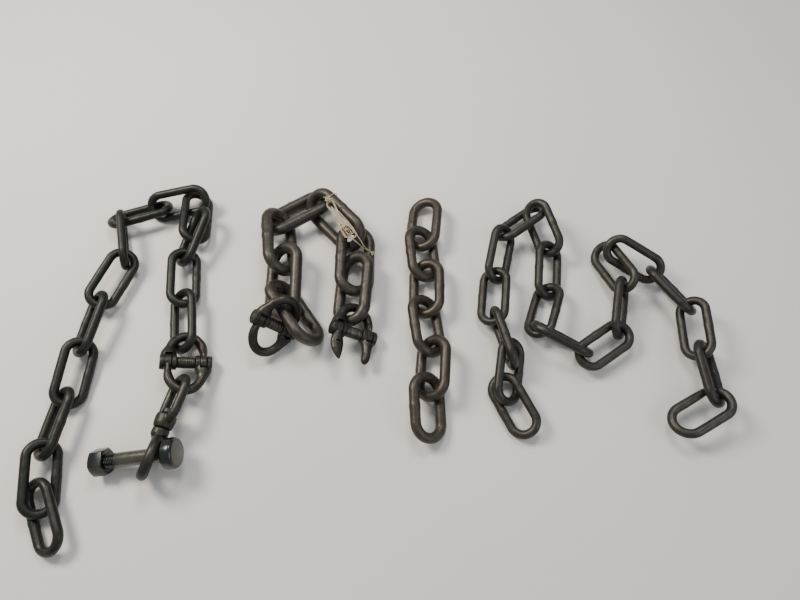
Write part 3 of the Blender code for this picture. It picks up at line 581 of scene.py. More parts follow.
# Where the camera stands from the middle of the left chain's first link, and its own directions
CAMERA_FROM_FIRST_LINK = (0.5690, -0.0926)
CAMERA_HEIGHT = 1.0521
CAMERA_RIGHT = (0.99969, 0.02243, 0.01080)
CAMERA_UP = (-0.02489, 0.90062, 0.43390)
CAMERA_LENS = 27.0
CAMERA_SENSOR = 36.0
FLOOR_SIZE = 12
SKY_COLOUR = "#e6ebef"
SKY_STRENGTH = 0.52
# Each light's place, what it looks at, its size, its power and its colour
LIGHTS = {
    "key": ((-1.4, 0.7, 1.7), (0, 0, 0), 0.8, 50, "#fff6ea"),
    "fill": ((1.6, -0.8, 1.6), (0, 0, 0), 1.6, 12, "#eef4ff"),
    "top": ((0.1, 1.1, 1.9), (0, 0.1, 0), 0.7, 18, "#ffffff"),
}


def add_area_light(name, place, aim, size, power, colour):
    light = bpy.data.lights.new(name, "AREA")
    light.shape = "DISK"
    light.size = size
    light.energy = power
    light.color = linear(colour)
    lamp = bpy.data.objects.new(name, light)
    bpy.context.scene.collection.objects.link(lamp)
    lamp.location = place
    lamp.rotation_euler = (Vector(aim) - Vector(place)).to_track_quat("-Z", "Y").to_euler()


class HEAP_OT_stage(bpy.types.Operator):
    """Camera at the photograph's angle, a pale floor and soft light"""

    bl_idname = "heap.stage"
    bl_label = "Camera, floor and light"

    def execute(self, context):
        camera = bpy.data.objects.new("camera", bpy.data.cameras.new("camera"))
        context.scene.collection.objects.link(camera)
        camera.data.lens = CAMERA_LENS
        camera.data.sensor_width = CAMERA_SENSOR
        low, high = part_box("left_chain_link_01")
        spot = [(low[i] + high[i]) / 2 + CAMERA_FROM_FIRST_LINK[i] for i in (0, 1)]
        right, up = np.array(CAMERA_RIGHT), np.array(CAMERA_UP)
        camera.matrix_world = frame_at((*spot, CAMERA_HEIGHT), right, up)
        context.scene.camera = camera

        deselect_all()
        bpy.ops.mesh.primitive_plane_add(size=FLOOR_SIZE, location=(0, 0, 0))
        floor = context.active_object
        floor.name = "floor"
        floor.data.materials.append(heap_material("floor"))

        world = context.scene.world or bpy.data.worlds.new("studio")
        context.scene.world = world
        world.use_nodes = True
        sky = world.node_tree.nodes["Background"]
        sky.inputs["Color"].default_value = (*linear(SKY_COLOUR), 1)
        sky.inputs["Strength"].default_value = SKY_STRENGTH
        for name, settings in LIGHTS.items():
            add_area_light(name, *settings)
        return {"FINISHED"}


# ---- Twine ---------------------------------------------------------------------------------

# The loop round the heavy chain's fifth link, up to the knot, as the part's own route has it
TWINE_LOOP = (
    (-0.1382, 0.3040, 0.0733), (-0.1334, 0.3033, 0.0601), (-0.1337, 0.3030, 0.0533),
    (-0.1315, 0.3051, 0.0473), (-0.1274, 0.3090, 0.0436), (-0.1225, 0.3137, 0.0432),
    (-0.1182, 0.3179, 0.0462), (-0.1155, 0.3205, 0.0519), (-0.1152, 0.3208, 0.0586),
    (-0.1174, 0.3187, 0.0647), (-0.1215, 0.3148, 0.0684), (-0.1263, 0.3101, 0.0688),
)
TWINE_TAIL = ((-0.0545, 0.2089, 0.0480), (-0.0398, 0.2078, 0.0245))

# The hank's middle, the way it lies from the knot, and the way across it
HANK_MIDDLE = np.array((-0.1018, 0.2558, 0.0645))
HANK_ALONG = np.array((0.558, -0.827, -0.070))
HANK_ACROSS = np.array((0.829, 0.559, 0.0))
HANK_UP = np.cross(HANK_ALONG, HANK_ACROSS)
HANK_END = 0.046
HANK_KNOT_FOLD = -0.041

# Each turn of the hank: its fold's distance from the hank's end, its half width at the fold, at
# the neck and at the knot, how far it leans aside, and its height
HANK_TURNS = (
    (0.002, 0.0080, 0.0034, 0.0068, 0.060, -0.0036),
    (0.008, 0.0062, 0.0046, 0.0068, -0.075, -0.0018),
    (0.000, 0.0088, 0.0030, 0.0069, 0.005, 0.0000),
    (0.012, 0.0062, 0.0050, 0.0070, 0.075, 0.0018),
    (0.004, 0.0068, 0.0038, 0.0070, -0.055, 0.0036),
    (0.007, 0.0076, 0.0042, 0.0070, 0.030, 0.0054),
)

# Knots as place along, across and above the hank, and half their width. The loop's knot is two,
# the second that far from the first.
LOOP_KNOT = (-0.0535, 0.0010, 0.0035, 0.0056)
SECOND_KNOT = (0.001, 0.001, 0.0022)
HANK_KNOTS = ((0.010, -0.0045, 0.0078, 0.0034), (0.017, 0.0020, 0.0076, 0.0032),
              (0.026, -0.0030, 0.0074, 0.0030))
END_KNOT_HALF = 0.0036
# The other end's way from the hank, and the tips of the frayed fibres from the end knot
OTHER_END = ((0.0440, -0.0030, 0.0012), (0.0560, 0.0030, -0.0040), (0.0670, 0.0100, -0.0150))
FIBRE_ENDS = ((0.006, 0.001, -0.002), (0.003, 0.005, -0.002), (0.005, -0.003, -0.001),
              (0.001, 0.003, -0.006), (0.004, 0.003, 0.002))


def smooth_line(points, step):
    """Points a step apart on a smooth curve through the given points."""
    points = [np.array(p, float) for p in points]
    points = [2 * points[0] - points[1]] + points + [2 * points[-1] - points[-2]]
    line = []
    for before, start, end, after in zip(points, points[1:], points[2:], points[3:]):
        pieces = max(1, round(np.linalg.norm(end - start) / step))
        for i in range(pieces):
            t = i / pieces
            line.append(0.5 * (2 * start + (end - before) * t
                               + (2 * before - 5 * start + 4 * end - after) * t ** 2
                               + (3 * start - before - 3 * end + after) * t ** 3))
    line.append(points[-2])
    return line


def in_hank(along, across, above):
    return HANK_MIDDLE + along * HANK_ALONG + across * HANK_ACROSS + above * HANK_UP


def hank_turns():
    """The windings of the hank. Each runs out at its own height, and climbs to the next on its way
    back to the knot. All lie close at the knot and spread towards the folds."""
    start = HANK_KNOT_FOLD
    points = [in_hank(-0.0560, 0.0070, -0.0010), in_hank(-0.0495, 0.0068, -0.0028)]
    for number, (short, far, neck, near, lean, height) in enumerate(HANK_TURNS):
        after = HANK_TURNS[min(number + 1, len(HANK_TURNS) - 1)][-1]
        fold = HANK_END - short - far
        run = [(start, near), (start + 0.005, near * 0.94), (start + 0.010, near * 0.8),
               (start + 0.019, neck), (-0.010, (neck + far) / 2 * 0.9),
               (0.008, far * 0.95), (fold * 0.8, far * 1.02)]
        turn = [(x, y, 0.0) for x, y in run]
        turn += [(fold + far * sin(a), far * cos(a), 0.0) for a in np.linspace(0, pi, 9)]
        climb = np.linspace(0.1, 1.0, len(run))
        turn += [(x, -y, share) for (x, y), share in zip(reversed(run), climb)]
        turn += [(start - near * sin(a), -near * cos(a), 1.0)
                 for a in np.linspace(0, pi, 7)[1:-1]]
        for x, y, share in turn:
            aside = lean * (x - start) * eased(x, start, 0.0)
            points.append(in_hank(x, y + aside, height + (after - height) * share))
    return points


def last_strand():
    """From the knot over the hank, down past its folds and along the tail."""
    return [in_hank(HANK_KNOT_FOLD, 0.0070, 0.0056), in_hank(-0.036, 0.0066, 0.0062),
            in_hank(-0.030, 0.0056, 0.0070), in_hank(-0.022, 0.0042, 0.0077),
            in_hank(-0.010, 0.0016, 0.0082), in_hank(0.010, 0.0026, 0.0082),
            in_hank(0.028, 0.0056, 0.0078), in_hank(0.042, 0.0088, 0.0050),
            in_hank(0.054, 0.0108, -0.0020), *TWINE_TAIL]


def twine_tube(name, line, thick, twist):
    """Two plies side by side make the section, and a steady tilt lays them round each other."""
    section = bpy.data.curves.new("twine section", "CURVE")
    section.dimensions = "2D"
    outline = section.splines.new("POLY")
    outline.points.add(11)
    for i, spot in enumerate(outline.points):
        a = 2 * pi * i / 12
        reach = thick / 2 * (0.97 + 0.12 * cos(2 * a))
        spot.co = (reach * cos(a), reach * sin(a), 0, 1)
    outline.use_cyclic_u = True
    profile = bpy.data.objects.new("twine section", section)
    bpy.context.scene.collection.objects.link(profile)

    curve = bpy.data.curves.new(name, "CURVE")
    curve.dimensions = "3D"
    curve.bevel_mode = "OBJECT"
    curve.bevel_object = profile
    curve.use_fill_caps = True
    spline = curve.splines.new("POLY")
    spline.points.add(len(line) - 1)
    way = 0.0
    for i, spot in enumerate(spline.points):
        way += np.linalg.norm(line[i] - line[i - 1]) if i else 0.0
        spot.co = (*line[i], 1)
        spot.tilt = 2 * pi * way / twist
    tube = bpy.data.objects.new(name, curve)
    bpy.context.scene.collection.objects.link(tube)
    select_only(tube)
    bpy.ops.object.convert(target="MESH")
    bpy.data.objects.remove(profile, do_unlink=True)
    return bpy.context.active_object


def knotted_line(middle, half, turn):
    """An overhand knot's own line, its ends tucked in: a trefoil of that half width."""
    unit = half / 3
    places = []
    for t in np.linspace(0.2, 2 * pi + 0.1, 40):
        x, y = sin(t) + 2 * sin(2 * t), cos(t) - 2 * cos(2 * t)
        places.append(middle + unit * ((x * cos(turn) - y * sin(turn)) * HANK_ALONG
                                       + (x * sin(turn) + y * cos(turn)) * HANK_ACROSS
                                       - 1.1 * sin(3 * t) * HANK_UP))
    return places


class HEAP_OT_twine(bpy.types.Operator):
    """The twine: its loop round the heavy chain, the knots, the hank and the tail"""

    bl_idname = "heap.twine"
    bl_label = "Twine"

    def execute(self, context):
        sizes = context.scene.heap_shapes
        thick, twist = sizes.twine_diameter, sizes.twine_twist
        line = smooth_line([*TWINE_LOOP, *hank_turns(), *last_strand()], thick * 0.6)
        strand = twine_tube("twine_strand", line, thick, twist)

        *spot, half = LOOP_KNOT
        lines = [knotted_line(in_hank(*spot), half, 0.3),
                 knotted_line(in_hank(*np.add(spot, SECOND_KNOT)), half * 0.8, 1.5)]
        loop_knot = joined([twine_tube("twine_loop_knot", each, thick, twist) for each in lines])

        lines = [knotted_line(in_hank(*spot), half, 1.3 * i)
                 for i, (*spot, half) in enumerate(HANK_KNOTS)]
        hank_knots = joined([twine_tube("twine_hank_knots", each, thick, twist) for each in lines])

        # The other end comes from the last fold into the same knot, and both fray beyond it
        end = np.array(TWINE_TAIL[-1])
        other = [*(in_hank(*spot) for spot in OTHER_END), end - 0.5 * END_KNOT_HALF * HANK_ALONG]
        tubes = [twine_tube("twine_end_knot", knotted_line(end, END_KNOT_HALF, 0.8), thick, twist),
                 twine_tube("other end", smooth_line(other, thick * 0.7), thick, twist)]
        for ahead, aside, above in FIBRE_ENDS:
            tip = end + ahead * HANK_ALONG + aside * HANK_ACROSS + above * HANK_UP
            bent = (end + tip) / 2 + 0.0006 * HANK_UP
            fibre = smooth_line([end, bent, tip], thick * 0.5)
            tubes.append(twine_tube("fibres", fibre, thick * 0.4, twist))
        end_knot = joined(tubes)

        finished(strand, "twine_fibre", "twine", "twine_hank")
        knots = [finished(knot, "twine_fibre") for knot in (loop_knot, hank_knots, end_knot)]
        for piece in (strand, *knots):
            smooth_shaded(piece, 50)
        return {"FINISHED"}


# ---- Chain links ---------------------------------------------------------------------------


# How far apart the points along a link's legs are
LEG_STEP = 0.003


def link_master(name, size, shapes):
    """A welded link, x along it: a ring pulled out to its length, swollen at the weld."""
    length, width, bar = (float(v) for v in size)
    bend = (width - bar) / 2
    straight = (length - width) / 2
    deselect_all()
    bpy.ops.mesh.primitive_torus_add(major_segments=64, minor_segments=28, major_radius=bend,
                                     minor_radius=bar / 2, location=(0, 0, 0))
    link = bpy.context.active_object
    link.name = name
    for side in (1, -1):
        pick(link, "VERT", lambda v: side * v.co.x > 0.0001)
        bpy.ops.transform.translate(value=(side * straight, 0, 0))
    spans = link.data
    pick(link, "EDGE", lambda e: abs(spans.vertices[e.vertices[0]].co.x
                                     - spans.vertices[e.vertices[1]].co.x) > straight * 0.6)
    bpy.ops.mesh.subdivide(number_cuts=round(straight / LEG_STEP) - 1)
    pick(link, "VERT", lambda v: abs(v.co.x) < 0.0001 and v.co.y > 0)
    swell = shapes.weld_swell
    bpy.ops.transform.resize(value=(1, swell, swell), center_override=(0, bend, 0),
                             use_proportional_edit=True, proportional_size=shapes.weld_reach,
                             proportional_edit_falloff="SMOOTH", use_proportional_connected=True)
    object_mode()

    # Links rub at the inside of their bends and drag on the outer ridges. Their flat faces get bare
    # metal too: rub wear underneath, and a painted highlight on the faces that look up.
    places, normals = vertex_data(link)
    ends = np.clip(places[:, :2], (-straight, 0), (straight, 0))
    outward = places[:, :2] - ends
    outward /= np.maximum(np.linalg.norm(outward, axis=1, keepdims=True), 1e-9)
    facing = (normals[:, :2] * outward).sum(1)
    bow = np.clip((np.abs(places[:, 0]) - straight) / bend, 0, 1)
    rubbed = np.clip(-facing, 0, 1) ** 2 * bow
    # Drag wear on the outer bends, and bare metal on the flat faces: wear below, painted highlight
    # above
    dragged_and_highlit = 0.45 * np.clip(facing, 0, 1) ** 2 * bow + 0.4 * np.abs(normals[:, 2]) ** 2
    write_wear_and_highlight(link, np.clip(np.maximum(rubbed, dragged_and_highlit), 0, 1))
    return link


def dress_links(chain, count):
    """Replaces the links of one chain by copies of one modelled link."""
    size = link_place(f"{chain}_link_01")[1]
    master = link_master(chain + "_master", size, bpy.context.scene.heap_shapes)
    for number in range(1, count + 1):
        node = f"{chain}_link_{number:02d}"
        # Welds come on either leg
        flip = (Matrix.Rotation(pi * (number % 2), 4, "Z")
                @ Matrix.Rotation(pi * (number // 2 % 2), 4, "X"))
        dressed(own_copy(master, node + "_welded"), chain + "_steel", node,
                link_place(node)[0] @ flip, 60)
    bpy.data.objects.remove(master, do_unlink=True)


class ChainOperator:
    """What the four chains' operators share. Each has its chain's name and its closed links."""

    def execute(self, context):
        dress_links(self.chain, self.closed_links)
        return {"FINISHED"}


class HEAP_OT_left_chain(ChainOperator, bpy.types.Operator):
    """The left chain's thirteen links"""

    bl_idname = "heap.left_chain"
    bl_label = "Left chain"
    chain, closed_links = "left_chain", 13


class HEAP_OT_heavy_chain(ChainOperator, bpy.types.Operator):
    """The heavy chain's seven links"""

    bl_idname = "heap.heavy_chain"
    bl_label = "Heavy chain"
    chain, closed_links = "heavy_chain", 7


class HEAP_OT_straight_chain(ChainOperator, bpy.types.Operator):
    """The straight chain's six links"""

    bl_idname = "heap.straight_chain"
    bl_label = "Straight chain"
    chain, closed_links = "straight_chain", 6


class HEAP_OT_right_chain(ChainOperator, bpy.types.Operator):
    """The right chain's seventeen closed links"""

    bl_idname = "heap.right_chain"
    bl_label = "Right chain"
    chain, closed_links = "right_chain", 17


# The gap in the sprung link's back bend, as angles round that bend, its thin end's half width, and
# how many points of its path the thinning takes
SPRUNG_GAP = (215, 221)
SPRUNG_TIP = 0.0046
THIN_POINTS = 14


def sprung_place(name):
    """The sprung link's frame. Its gap is at the side of negative x and negative y."""
    middle, (along, across, normal) = skin_moments(name)
    best = None
    for degrees in np.arange(-6, 6.01, 0.1):
        turn = radians(degrees)
        matrix = frame_at(middle, along * cos(turn) + np.cross(normal, along) * sin(turn),
                          np.cross(normal, along))
        places = measured(name, matrix)
        width = np.ptp(places[:, 1])
        if best is None or width < best[0]:
            best = (width, matrix, places)
    matrix, places = best[1:]
    centre = (places.min(0) + places.max(0)) / 2
    # Less steel at the gap draws the middle of the skin away from it
    flips = [1 if c < 0 else -1 for c in centre[:2]]
    x = np.array(matrix)[:3, 0] * flips[0]
    y = np.array(matrix)[:3, 1] * flips[1]
    origin = np.array(matrix @ Vector(centre))
    return frame_at(origin, x, y), np.ptp(places, axis=0)


class HEAP_OT_sprung_link(bpy.types.Operator):
    """The right chain's last link, sprung open at its back bend, one end worn thin"""

    bl_idname = "heap.sprung_link"
    bl_label = "Sprung link"

    def execute(self, context):
        matrix, (length, width, bar) = sprung_place("right_chain_link_18")
        bend, straight = (width - bar) / 2, (length - width) / 2

        def arc(x, begin, end, count):
            return [(x + bend * cos(a), bend * sin(a))
                    for a in [radians(d) for d in np.linspace(begin, end, count)]]

        thick_end, thin_end = SPRUNG_GAP
        path = arc(-straight, thin_end, 270, 9)
        path += [(x, -bend) for x in np.linspace(-straight, straight, 9)[1:-1]]
        path += arc(straight, -90, 90, 25)
        path += [(x, bend) for x in np.linspace(straight, -straight, 9)[1:-1]]
        path += arc(-straight, 90, thick_end, 19)
        widths = [bar / 2] * len(path)
        for i in range(THIN_POINTS):
            blend = (1 - cos(pi * i / THIN_POINTS)) / 2
            widths[i] = SPRUNG_TIP + (bar / 2 - SPRUNG_TIP) * blend
        link = swept("right_chain_link_18_sprung", path, widths, widths, 24)
        pick(link, "FACE", lambda f: len(f.vertices) > 4)
        bpy.ops.mesh.bevel(offset=0.0012, segments=3, affect="EDGES")
        object_mode()
        dressed(link, "right_chain_steel", "right_chain_link_18", matrix, 50, wear_and_highlight=0.6)
        return {"FINISHED"}


# ---- Couplings -----------------------------------------------------------------------------

# Coupling half, x along its pin and y towards its bow, in metres from the middle of the pin. A
# single ear on the side of negative x, and a forked ear on the other, on a bow of round bar.
EAR_RADIUS = 0.0138
EAR_EDGE = 0.0016
EAR_HALF_HEIGHT = 0.0120
# How far from the pin an ear begins to turn into round bar, and is round
EAR_FADES = (0.013, 0.032)
SINGLE_EAR = (-0.0360, -0.0240)
FORK = (0.0155, 0.0445)
FORK_SLOT = (0.0235, 0.0365)
SLOT_DEPTH = 0.0145
BOW_LEG = 0.0300
BOW_FOOT = 0.0155
BOW_RISE = 0.0390
BOW_RADIUS = 0.0085
PIN_RADIUS = 0.0065
PIN_HALF = 0.0445
PIN_EDGE = 0.0008
BORE_RADIUS = 0.0068
BORE_HALF = 0.06
SLEEVE_RADIUS = 0.0105
SLEEVE_HALF = 0.0150
FORGED_VOXEL = 0.0009

# The broken half's legs from the pin to their tips, as x, y, half width and half height. The left
# one is beaten flat like a blade, with the slot of a lost key through it. The right one is a
# round finger.
BLADE = ((-0.0300, 0.000, 0.0060, 0.0120), (-0.0300, 0.008, 0.0075, 0.0115),
         (-0.0300, 0.016, 0.0105, 0.0098), (-0.0295, 0.024, 0.0122, 0.0082),
         (-0.0285, 0.032, 0.0122, 0.0074), (-0.0270, 0.040, 0.0108, 0.0066),
         (-0.0250, 0.048, 0.0080, 0.0056), (-0.0228, 0.055, 0.0045, 0.0040),
         (-0.0212, 0.060, 0.0012, 0.0016))
KEY_SLOT = ((-0.0335, 0.0262, -0.02), (-0.0252, 0.0290, 0.02))
FINGER = ((0.0300, 0.000, 0.0145, 0.0120), (0.0300, 0.008, 0.0145, 0.0120),
          (0.0300, 0.016, 0.0122, 0.0108), (0.0300, 0.022, 0.0100, 0.0096),
          (0.0300, 0.028, 0.0092, 0.0090), (0.0300, 0.034, 0.0088, 0.0087),
          (0.0296, 0.040, 0.0085, 0.0084), (0.0289, 0.046, 0.0080, 0.0079),
          (0.0281, 0.051, 0.0068, 0.0067), (0.0274, 0.0545, 0.0044, 0.0043),
          (0.0270, 0.056, 0.0014, 0.0014))

# Each half's pin
COUPLING_HALVES = (("left_coupling_pin", "left_coupling_upper_half"),
                   ("left_coupling_pin", "left_coupling_lower_half"),
                   ("heavy_start_coupling_pin", "heavy_start_coupling_upper_half"),
                   ("heavy_start_coupling_pin", "heavy_start_coupling_lower_half"),
                   ("heavy_end_coupling_pin", "heavy_end_coupling_half"))


def ear(low, high):
    """An ear's round end, with its rims rounded."""
    rim = [(0, EAR_EDGE), (EAR_EDGE * 0.3, EAR_EDGE * 0.3), (EAR_EDGE, 0)]
    return turned("ear", [(low, 0), *((low + x, EAR_RADIUS - y) for x, y in rim),
                          *((high - x, EAR_RADIUS - y) for x, y in reversed(rim)), (high, 0)])


def leg_size(x, y):
    """Half the width and height of a coupling's leg: an ear at the pin, round bar at the bow."""
    foot = (FORK[1] - FORK[0]) / 2 if x > 0 else (SINGLE_EAR[1] - SINGLE_EAR[0]) / 2
    rise = eased(y, *EAR_FADES)
    return [size + (BOW_RADIUS - size) * rise for size in (foot, EAR_HALF_HEIGHT)]


def bored_for_pin(piece):
    cut(piece, rod(-BORE_HALF, BORE_HALF, BORE_RADIUS))
    return piece


def slotted(piece):
    """Cuts the slot of the forked ear."""
    wide = EAR_RADIUS * 1.4
    cut(piece, block((FORK_SLOT[0], -wide, -wide), (FORK_SLOT[1], SLOT_DEPTH, wide)))
    return piece


def coupling_half_master():
    """A drop-forged half: the bow with its two ears in one skin, then slotted and bored."""
    path = [(-BOW_LEG, 0), (-BOW_LEG, BOW_FOOT / 2)]
    path += [(BOW_LEG * cos(a), BOW_FOOT + BOW_RISE * sin(a)) for a in np.linspace(pi, 0, 25)]
    path += [(BOW_LEG, BOW_FOOT / 2), (BOW_LEG, 0)]
    widths, heights = zip(*[leg_size(x, y) for x, y in path])
    half = joined([swept("coupling_half_master", path, widths, heights, 24), ear(*SINGLE_EAR),
                   ear(*FORK)])
    forged(half, FORGED_VOXEL, 5)
    return bored_for_pin(slotted(half))


def stub_master(name, side, leg):
    """A leg of a broken half, from its ear on the pin to its torn tip."""
    x, y, widths, heights = zip(*leg)
    root = FORK if side > 0 else SINGLE_EAR
    stub = joined([swept(name, zip(x, y), widths, heights), ear(*root)])
    forged(stub, FORGED_VOXEL, 5)
    if side > 0:
        slotted(stub)
    return bored_for_pin(stub)


def pin_master(name, ribs):
    """The pin and its sleeve. Wear has cut ribs into some sleeves."""
    edge = PIN_EDGE
    end = [(-PIN_HALF, 0), (-PIN_HALF, PIN_RADIUS - edge), (-PIN_HALF + edge, PIN_RADIUS),
           (-SLEEVE_HALF, PIN_RADIUS), (-SLEEVE_HALF, SLEEVE_RADIUS - edge),
           (-SLEEVE_HALF + edge, SLEEVE_RADIUS)]
    profile = list(end)
    for i in range(ribs):
        middle = -SLEEVE_HALF + (i + 0.5) * 2 * SLEEVE_HALF / ribs
        profile += [(middle - 0.0010, SLEEVE_RADIUS), (middle - 0.0004, SLEEVE_RADIUS - edge),
                    (middle + 0.0004, SLEEVE_RADIUS - edge), (middle + 0.0010, SLEEVE_RADIUS)]
    return turned(name, profile + [(-x, radius) for x, radius in reversed(end)], 40)


def pin_place(pin, half, side=0):
    """The frame of what hangs on a pin: x along the pin, to the forked ear, y towards its bow.
    A stub has one ear, on the side of the given sign."""
    origin, (axis, _, _) = skin_moments(pin)
    middle = skin_moments(half)[0]
    places = (triangles(half).reshape(-1, 3) - origin) @ axis
    towards = (middle - origin) @ axis if side else places.max() + places.min()
    if towards * (side or 1) < 0:
        axis = -axis
    return frame_at(origin, axis, middle - origin)


class HEAP_OT_couplings(bpy.types.Operator):
    """The coupling halves, the broken half's two stubs, and the pins with their sleeves"""

    bl_idname = "heap.couplings"
    bl_label = "Couplings"

    def execute(self, context):
        half = coupling_half_master()
        for pin, node in COUPLING_HALVES:
            dressed(own_copy(half, node + "_forged"), "coupling_steel", node, pin_place(pin, node),
                    35, wear_and_highlight=0.9)
        bpy.data.objects.remove(half, do_unlink=True)

        for node, side, leg in (("heavy_end_coupling_left_stub", -1, BLADE),
                                ("heavy_end_coupling_right_stub", 1, FINGER)):
            stub = stub_master(node + "_forged", side, leg)
            if leg is BLADE:
                cut(stub, block(*KEY_SLOT))
            dressed(stub, "coupling_steel", node, pin_place("heavy_end_coupling_pin", node, side),
                    35, wear_and_highlight=0.9)

        for pin, node, ribs in (("left_coupling_pin", "left_coupling_upper_half", 8),
                                ("heavy_start_coupling_pin", "heavy_start_coupling_upper_half", 5),
                                ("heavy_end_coupling_pin", "heavy_end_coupling_half", 2)):
            dressed(pin_master(pin + "_sleeved", ribs), "coupling_pin_steel", pin,
                    pin_place(pin, node), 35, lumps=0, wear_and_highlight=1.0)
        return {"FINISHED"}


# ---- Swivel --------------------------------------------------------------------------------

# Swivel, x from the crown of its bow to its eye, from the boss's outer face, in metres
SWIVEL_BAR = 0.0080
BOW_HALF_WIDTH = 0.0220
BOW_CROWN = -0.0700
NECK = ((-0.0150, 0.0120), (-0.0190, 0.0158), (-0.0230, 0.0190), (-0.0280, 0.0210),
        (-0.0330, 0.0220))
BOW_STRAIGHT = (-0.045, -0.058)
BOSS = ((-0.0240, 0), (-0.0240, 0.0152), (-0.0232, 0.0166), (-0.0215, 0.0174), (-0.0160, 0.0176),
        (-0.0080, 0.0172), (-0.0020, 0.0160), (-0.0004, 0.0150), (0, 0.0138), (0, 0))
# Hollows in the boss for the stem and its head: both ends and the radius
STEM_BORE = (-0.05, 0.01, 0.0084)
HEAD_SEAT = (-0.0400, -0.0240, 0.0125)
STEM = ((-0.0345, 0), (-0.0345, 0.0095), (-0.0340, 0.0110), (-0.0325, 0.0120), (-0.0260, 0.0120),
        (-0.0248, 0.0110), (-0.0246, 0.0080), (0.0005, 0.0080), (0.0005, 0.0125),
        (0.0012, 0.0140), (0.0030, 0.0146), (0.0110, 0.0146), (0.0135, 0.0138), (0.0160, 0.0118),
        (0.0200, 0.0100), (0.0200, 0))
EYE_MIDDLE = 0.0495
EYE_BEND = 0.0300
EYE_BAR = 0.0090


def swivel_places():
    """The bow's frame and the eye's, x from the bow to the eye."""
    bow_middle = skin_moments("swivel_bow")[0]
    eye_middle = skin_moments("swivel_eye")[0]
    axis = (eye_middle - bow_middle) / np.linalg.norm(eye_middle - bow_middle)
    face = ((triangles("swivel_bow").reshape(-1, 3) - bow_middle) @ axis).max()
    origin = bow_middle + axis * face
    places = []
    for name in ("swivel_bow", "swivel_eye"):
        # The flat of a ring is seen in how its skin spreads across the axis
        own = skin_moments(name)[1]
        sides = [way - axis * (way @ axis) for way in own]
        reaches = [np.ptp(triangles(name).reshape(-1, 3) @ side) for side in sides]
        places.append(frame_at(origin, axis, sides[int(np.argmax(reaches))]))
    return places


class HEAP_OT_swivel(bpy.types.Operator):
    """The swivel: the forged bow with its boss, and the eye on its stem"""

    bl_idname = "heap.swivel"
    bl_label = "Swivel"

    def execute(self, context):
        bow_matrix, eye_matrix = swivel_places()

        leg = [(x, -y) for x, y in (*NECK, *((x, BOW_HALF_WIDTH) for x in BOW_STRAIGHT))]
        crown = [(BOW_CROWN + BOW_HALF_WIDTH * cos(a), BOW_HALF_WIDTH * sin(a))
                 for a in np.linspace(-pi / 2, -3 * pi / 2, 19)]
        path = leg + crown + [(x, -y) for x, y in reversed(leg)]
        widths = [SWIVEL_BAR] * len(path)
        bow = joined([swept("swivel_bow_forged", path, widths, widths, 24), turned("boss", BOSS)])
        forged(bow, FORGED_VOXEL, 5)
        cut(bow, rod(*STEM_BORE))
        cut(bow, rod(*HEAD_SEAT))
        dressed(bow, "swivel_steel", "swivel_bow", bow_matrix, 35, wear_and_highlight=0.7)

        deselect_all()
        bpy.ops.mesh.primitive_torus_add(major_segments=64, minor_segments=24,
                                         major_radius=EYE_BEND, minor_radius=EYE_BAR,
                                         location=(EYE_MIDDLE, 0, 0))
        ring = context.active_object
        ring.name = "swivel_eye_forged"
        apply_place()
        eye = joined([ring, turned("stem", STEM)])
        forged(eye, FORGED_VOXEL, 4)
        dressed(eye, "swivel_steel", "swivel_eye", eye_matrix, 35, lumps=0.4, wear_and_highlight=0.7)
        return {"FINISHED"}


# ---- Bolt ----------------------------------------------------------------------------------

# Bolt, x from the inner face of its round head to its threaded end, and its nut about its middle
SHANK_RADIUS = 0.0125
BOLT_END = 0.1310
BOLT_HEAD = ((-0.0200, 0), (-0.0200, 0.0195), (-0.0196, 0.0218), (-0.0184, 0.0238),
             (-0.0164, 0.0252), (-0.0140, 0.0259), (-0.0115, 0.0260), (-0.0030, 0.0260),
             (-0.0012, 0.0257), (-0.0003, 0.0250), (0, 0.0240), (0, 0.0137), (0.0004, 0.0128),
             (0.0012, SHANK_RADIUS))
# How long the point is and how far it narrows
BOLT_POINT = (0.0016, 0.0022)
# Where the shank's rubbed stretch begins, is full, fades and is gone
RUBBED_SHANK = (0.004, 0.012, 0.080, 0.092)
# The thread's depth as a share of its pitch, and how far apart the points along it are
THREAD_DEPTH = 0.61
THREAD_STEP = 0.0005
NUT_HALF = 0.0125
NUT_CORNER = 0.02367
NUT_CHAMFER = ((-NUT_HALF, 0), (-NUT_HALF, 0.0196), (-0.0101, 0.0240), (0.0101, 0.0240),
               (NUT_HALF, 0.0196), (NUT_HALF, 0))
NUT_BORE = ((-0.0140, 0), (-0.0140, 0.0145), (-0.0112, 0.0128), (0.0112, 0.0128),
            (0.0140, 0.0145), (0.0140, 0))


def bolt_place():
    """The bolt's frame: its head is where its skin is furthest from the axis."""
    middle, (axis, _, _) = skin_moments("bolt")
    places = triangles("bolt").reshape(-1, 3) - middle
    ahead = places @ axis
    aside = np.linalg.norm(places - ahead[:, None] * axis, axis=1)
    if ahead[aside > SHANK_RADIUS * 1.5].mean() > 0:
        axis, ahead = -axis, -ahead
    return frame_at(middle + axis * (ahead.max() - BOLT_END), axis, np.array((0.0, 0.0, 1.0)))


def nut_place(bolt):
    """The nut's frame: along the bolt, with y through one of its corners."""
    middle = skin_moments("bolt_nut")[0]
    axis = np.array(bolt)[:3, 0]
    places = triangles("bolt_nut").reshape(-1, 3) - middle
    aside = places - (places @ axis)[:, None] * axis
    corner = aside[np.argmax(np.linalg.norm(aside, axis=1))]
    return frame_at(middle, axis, corner)


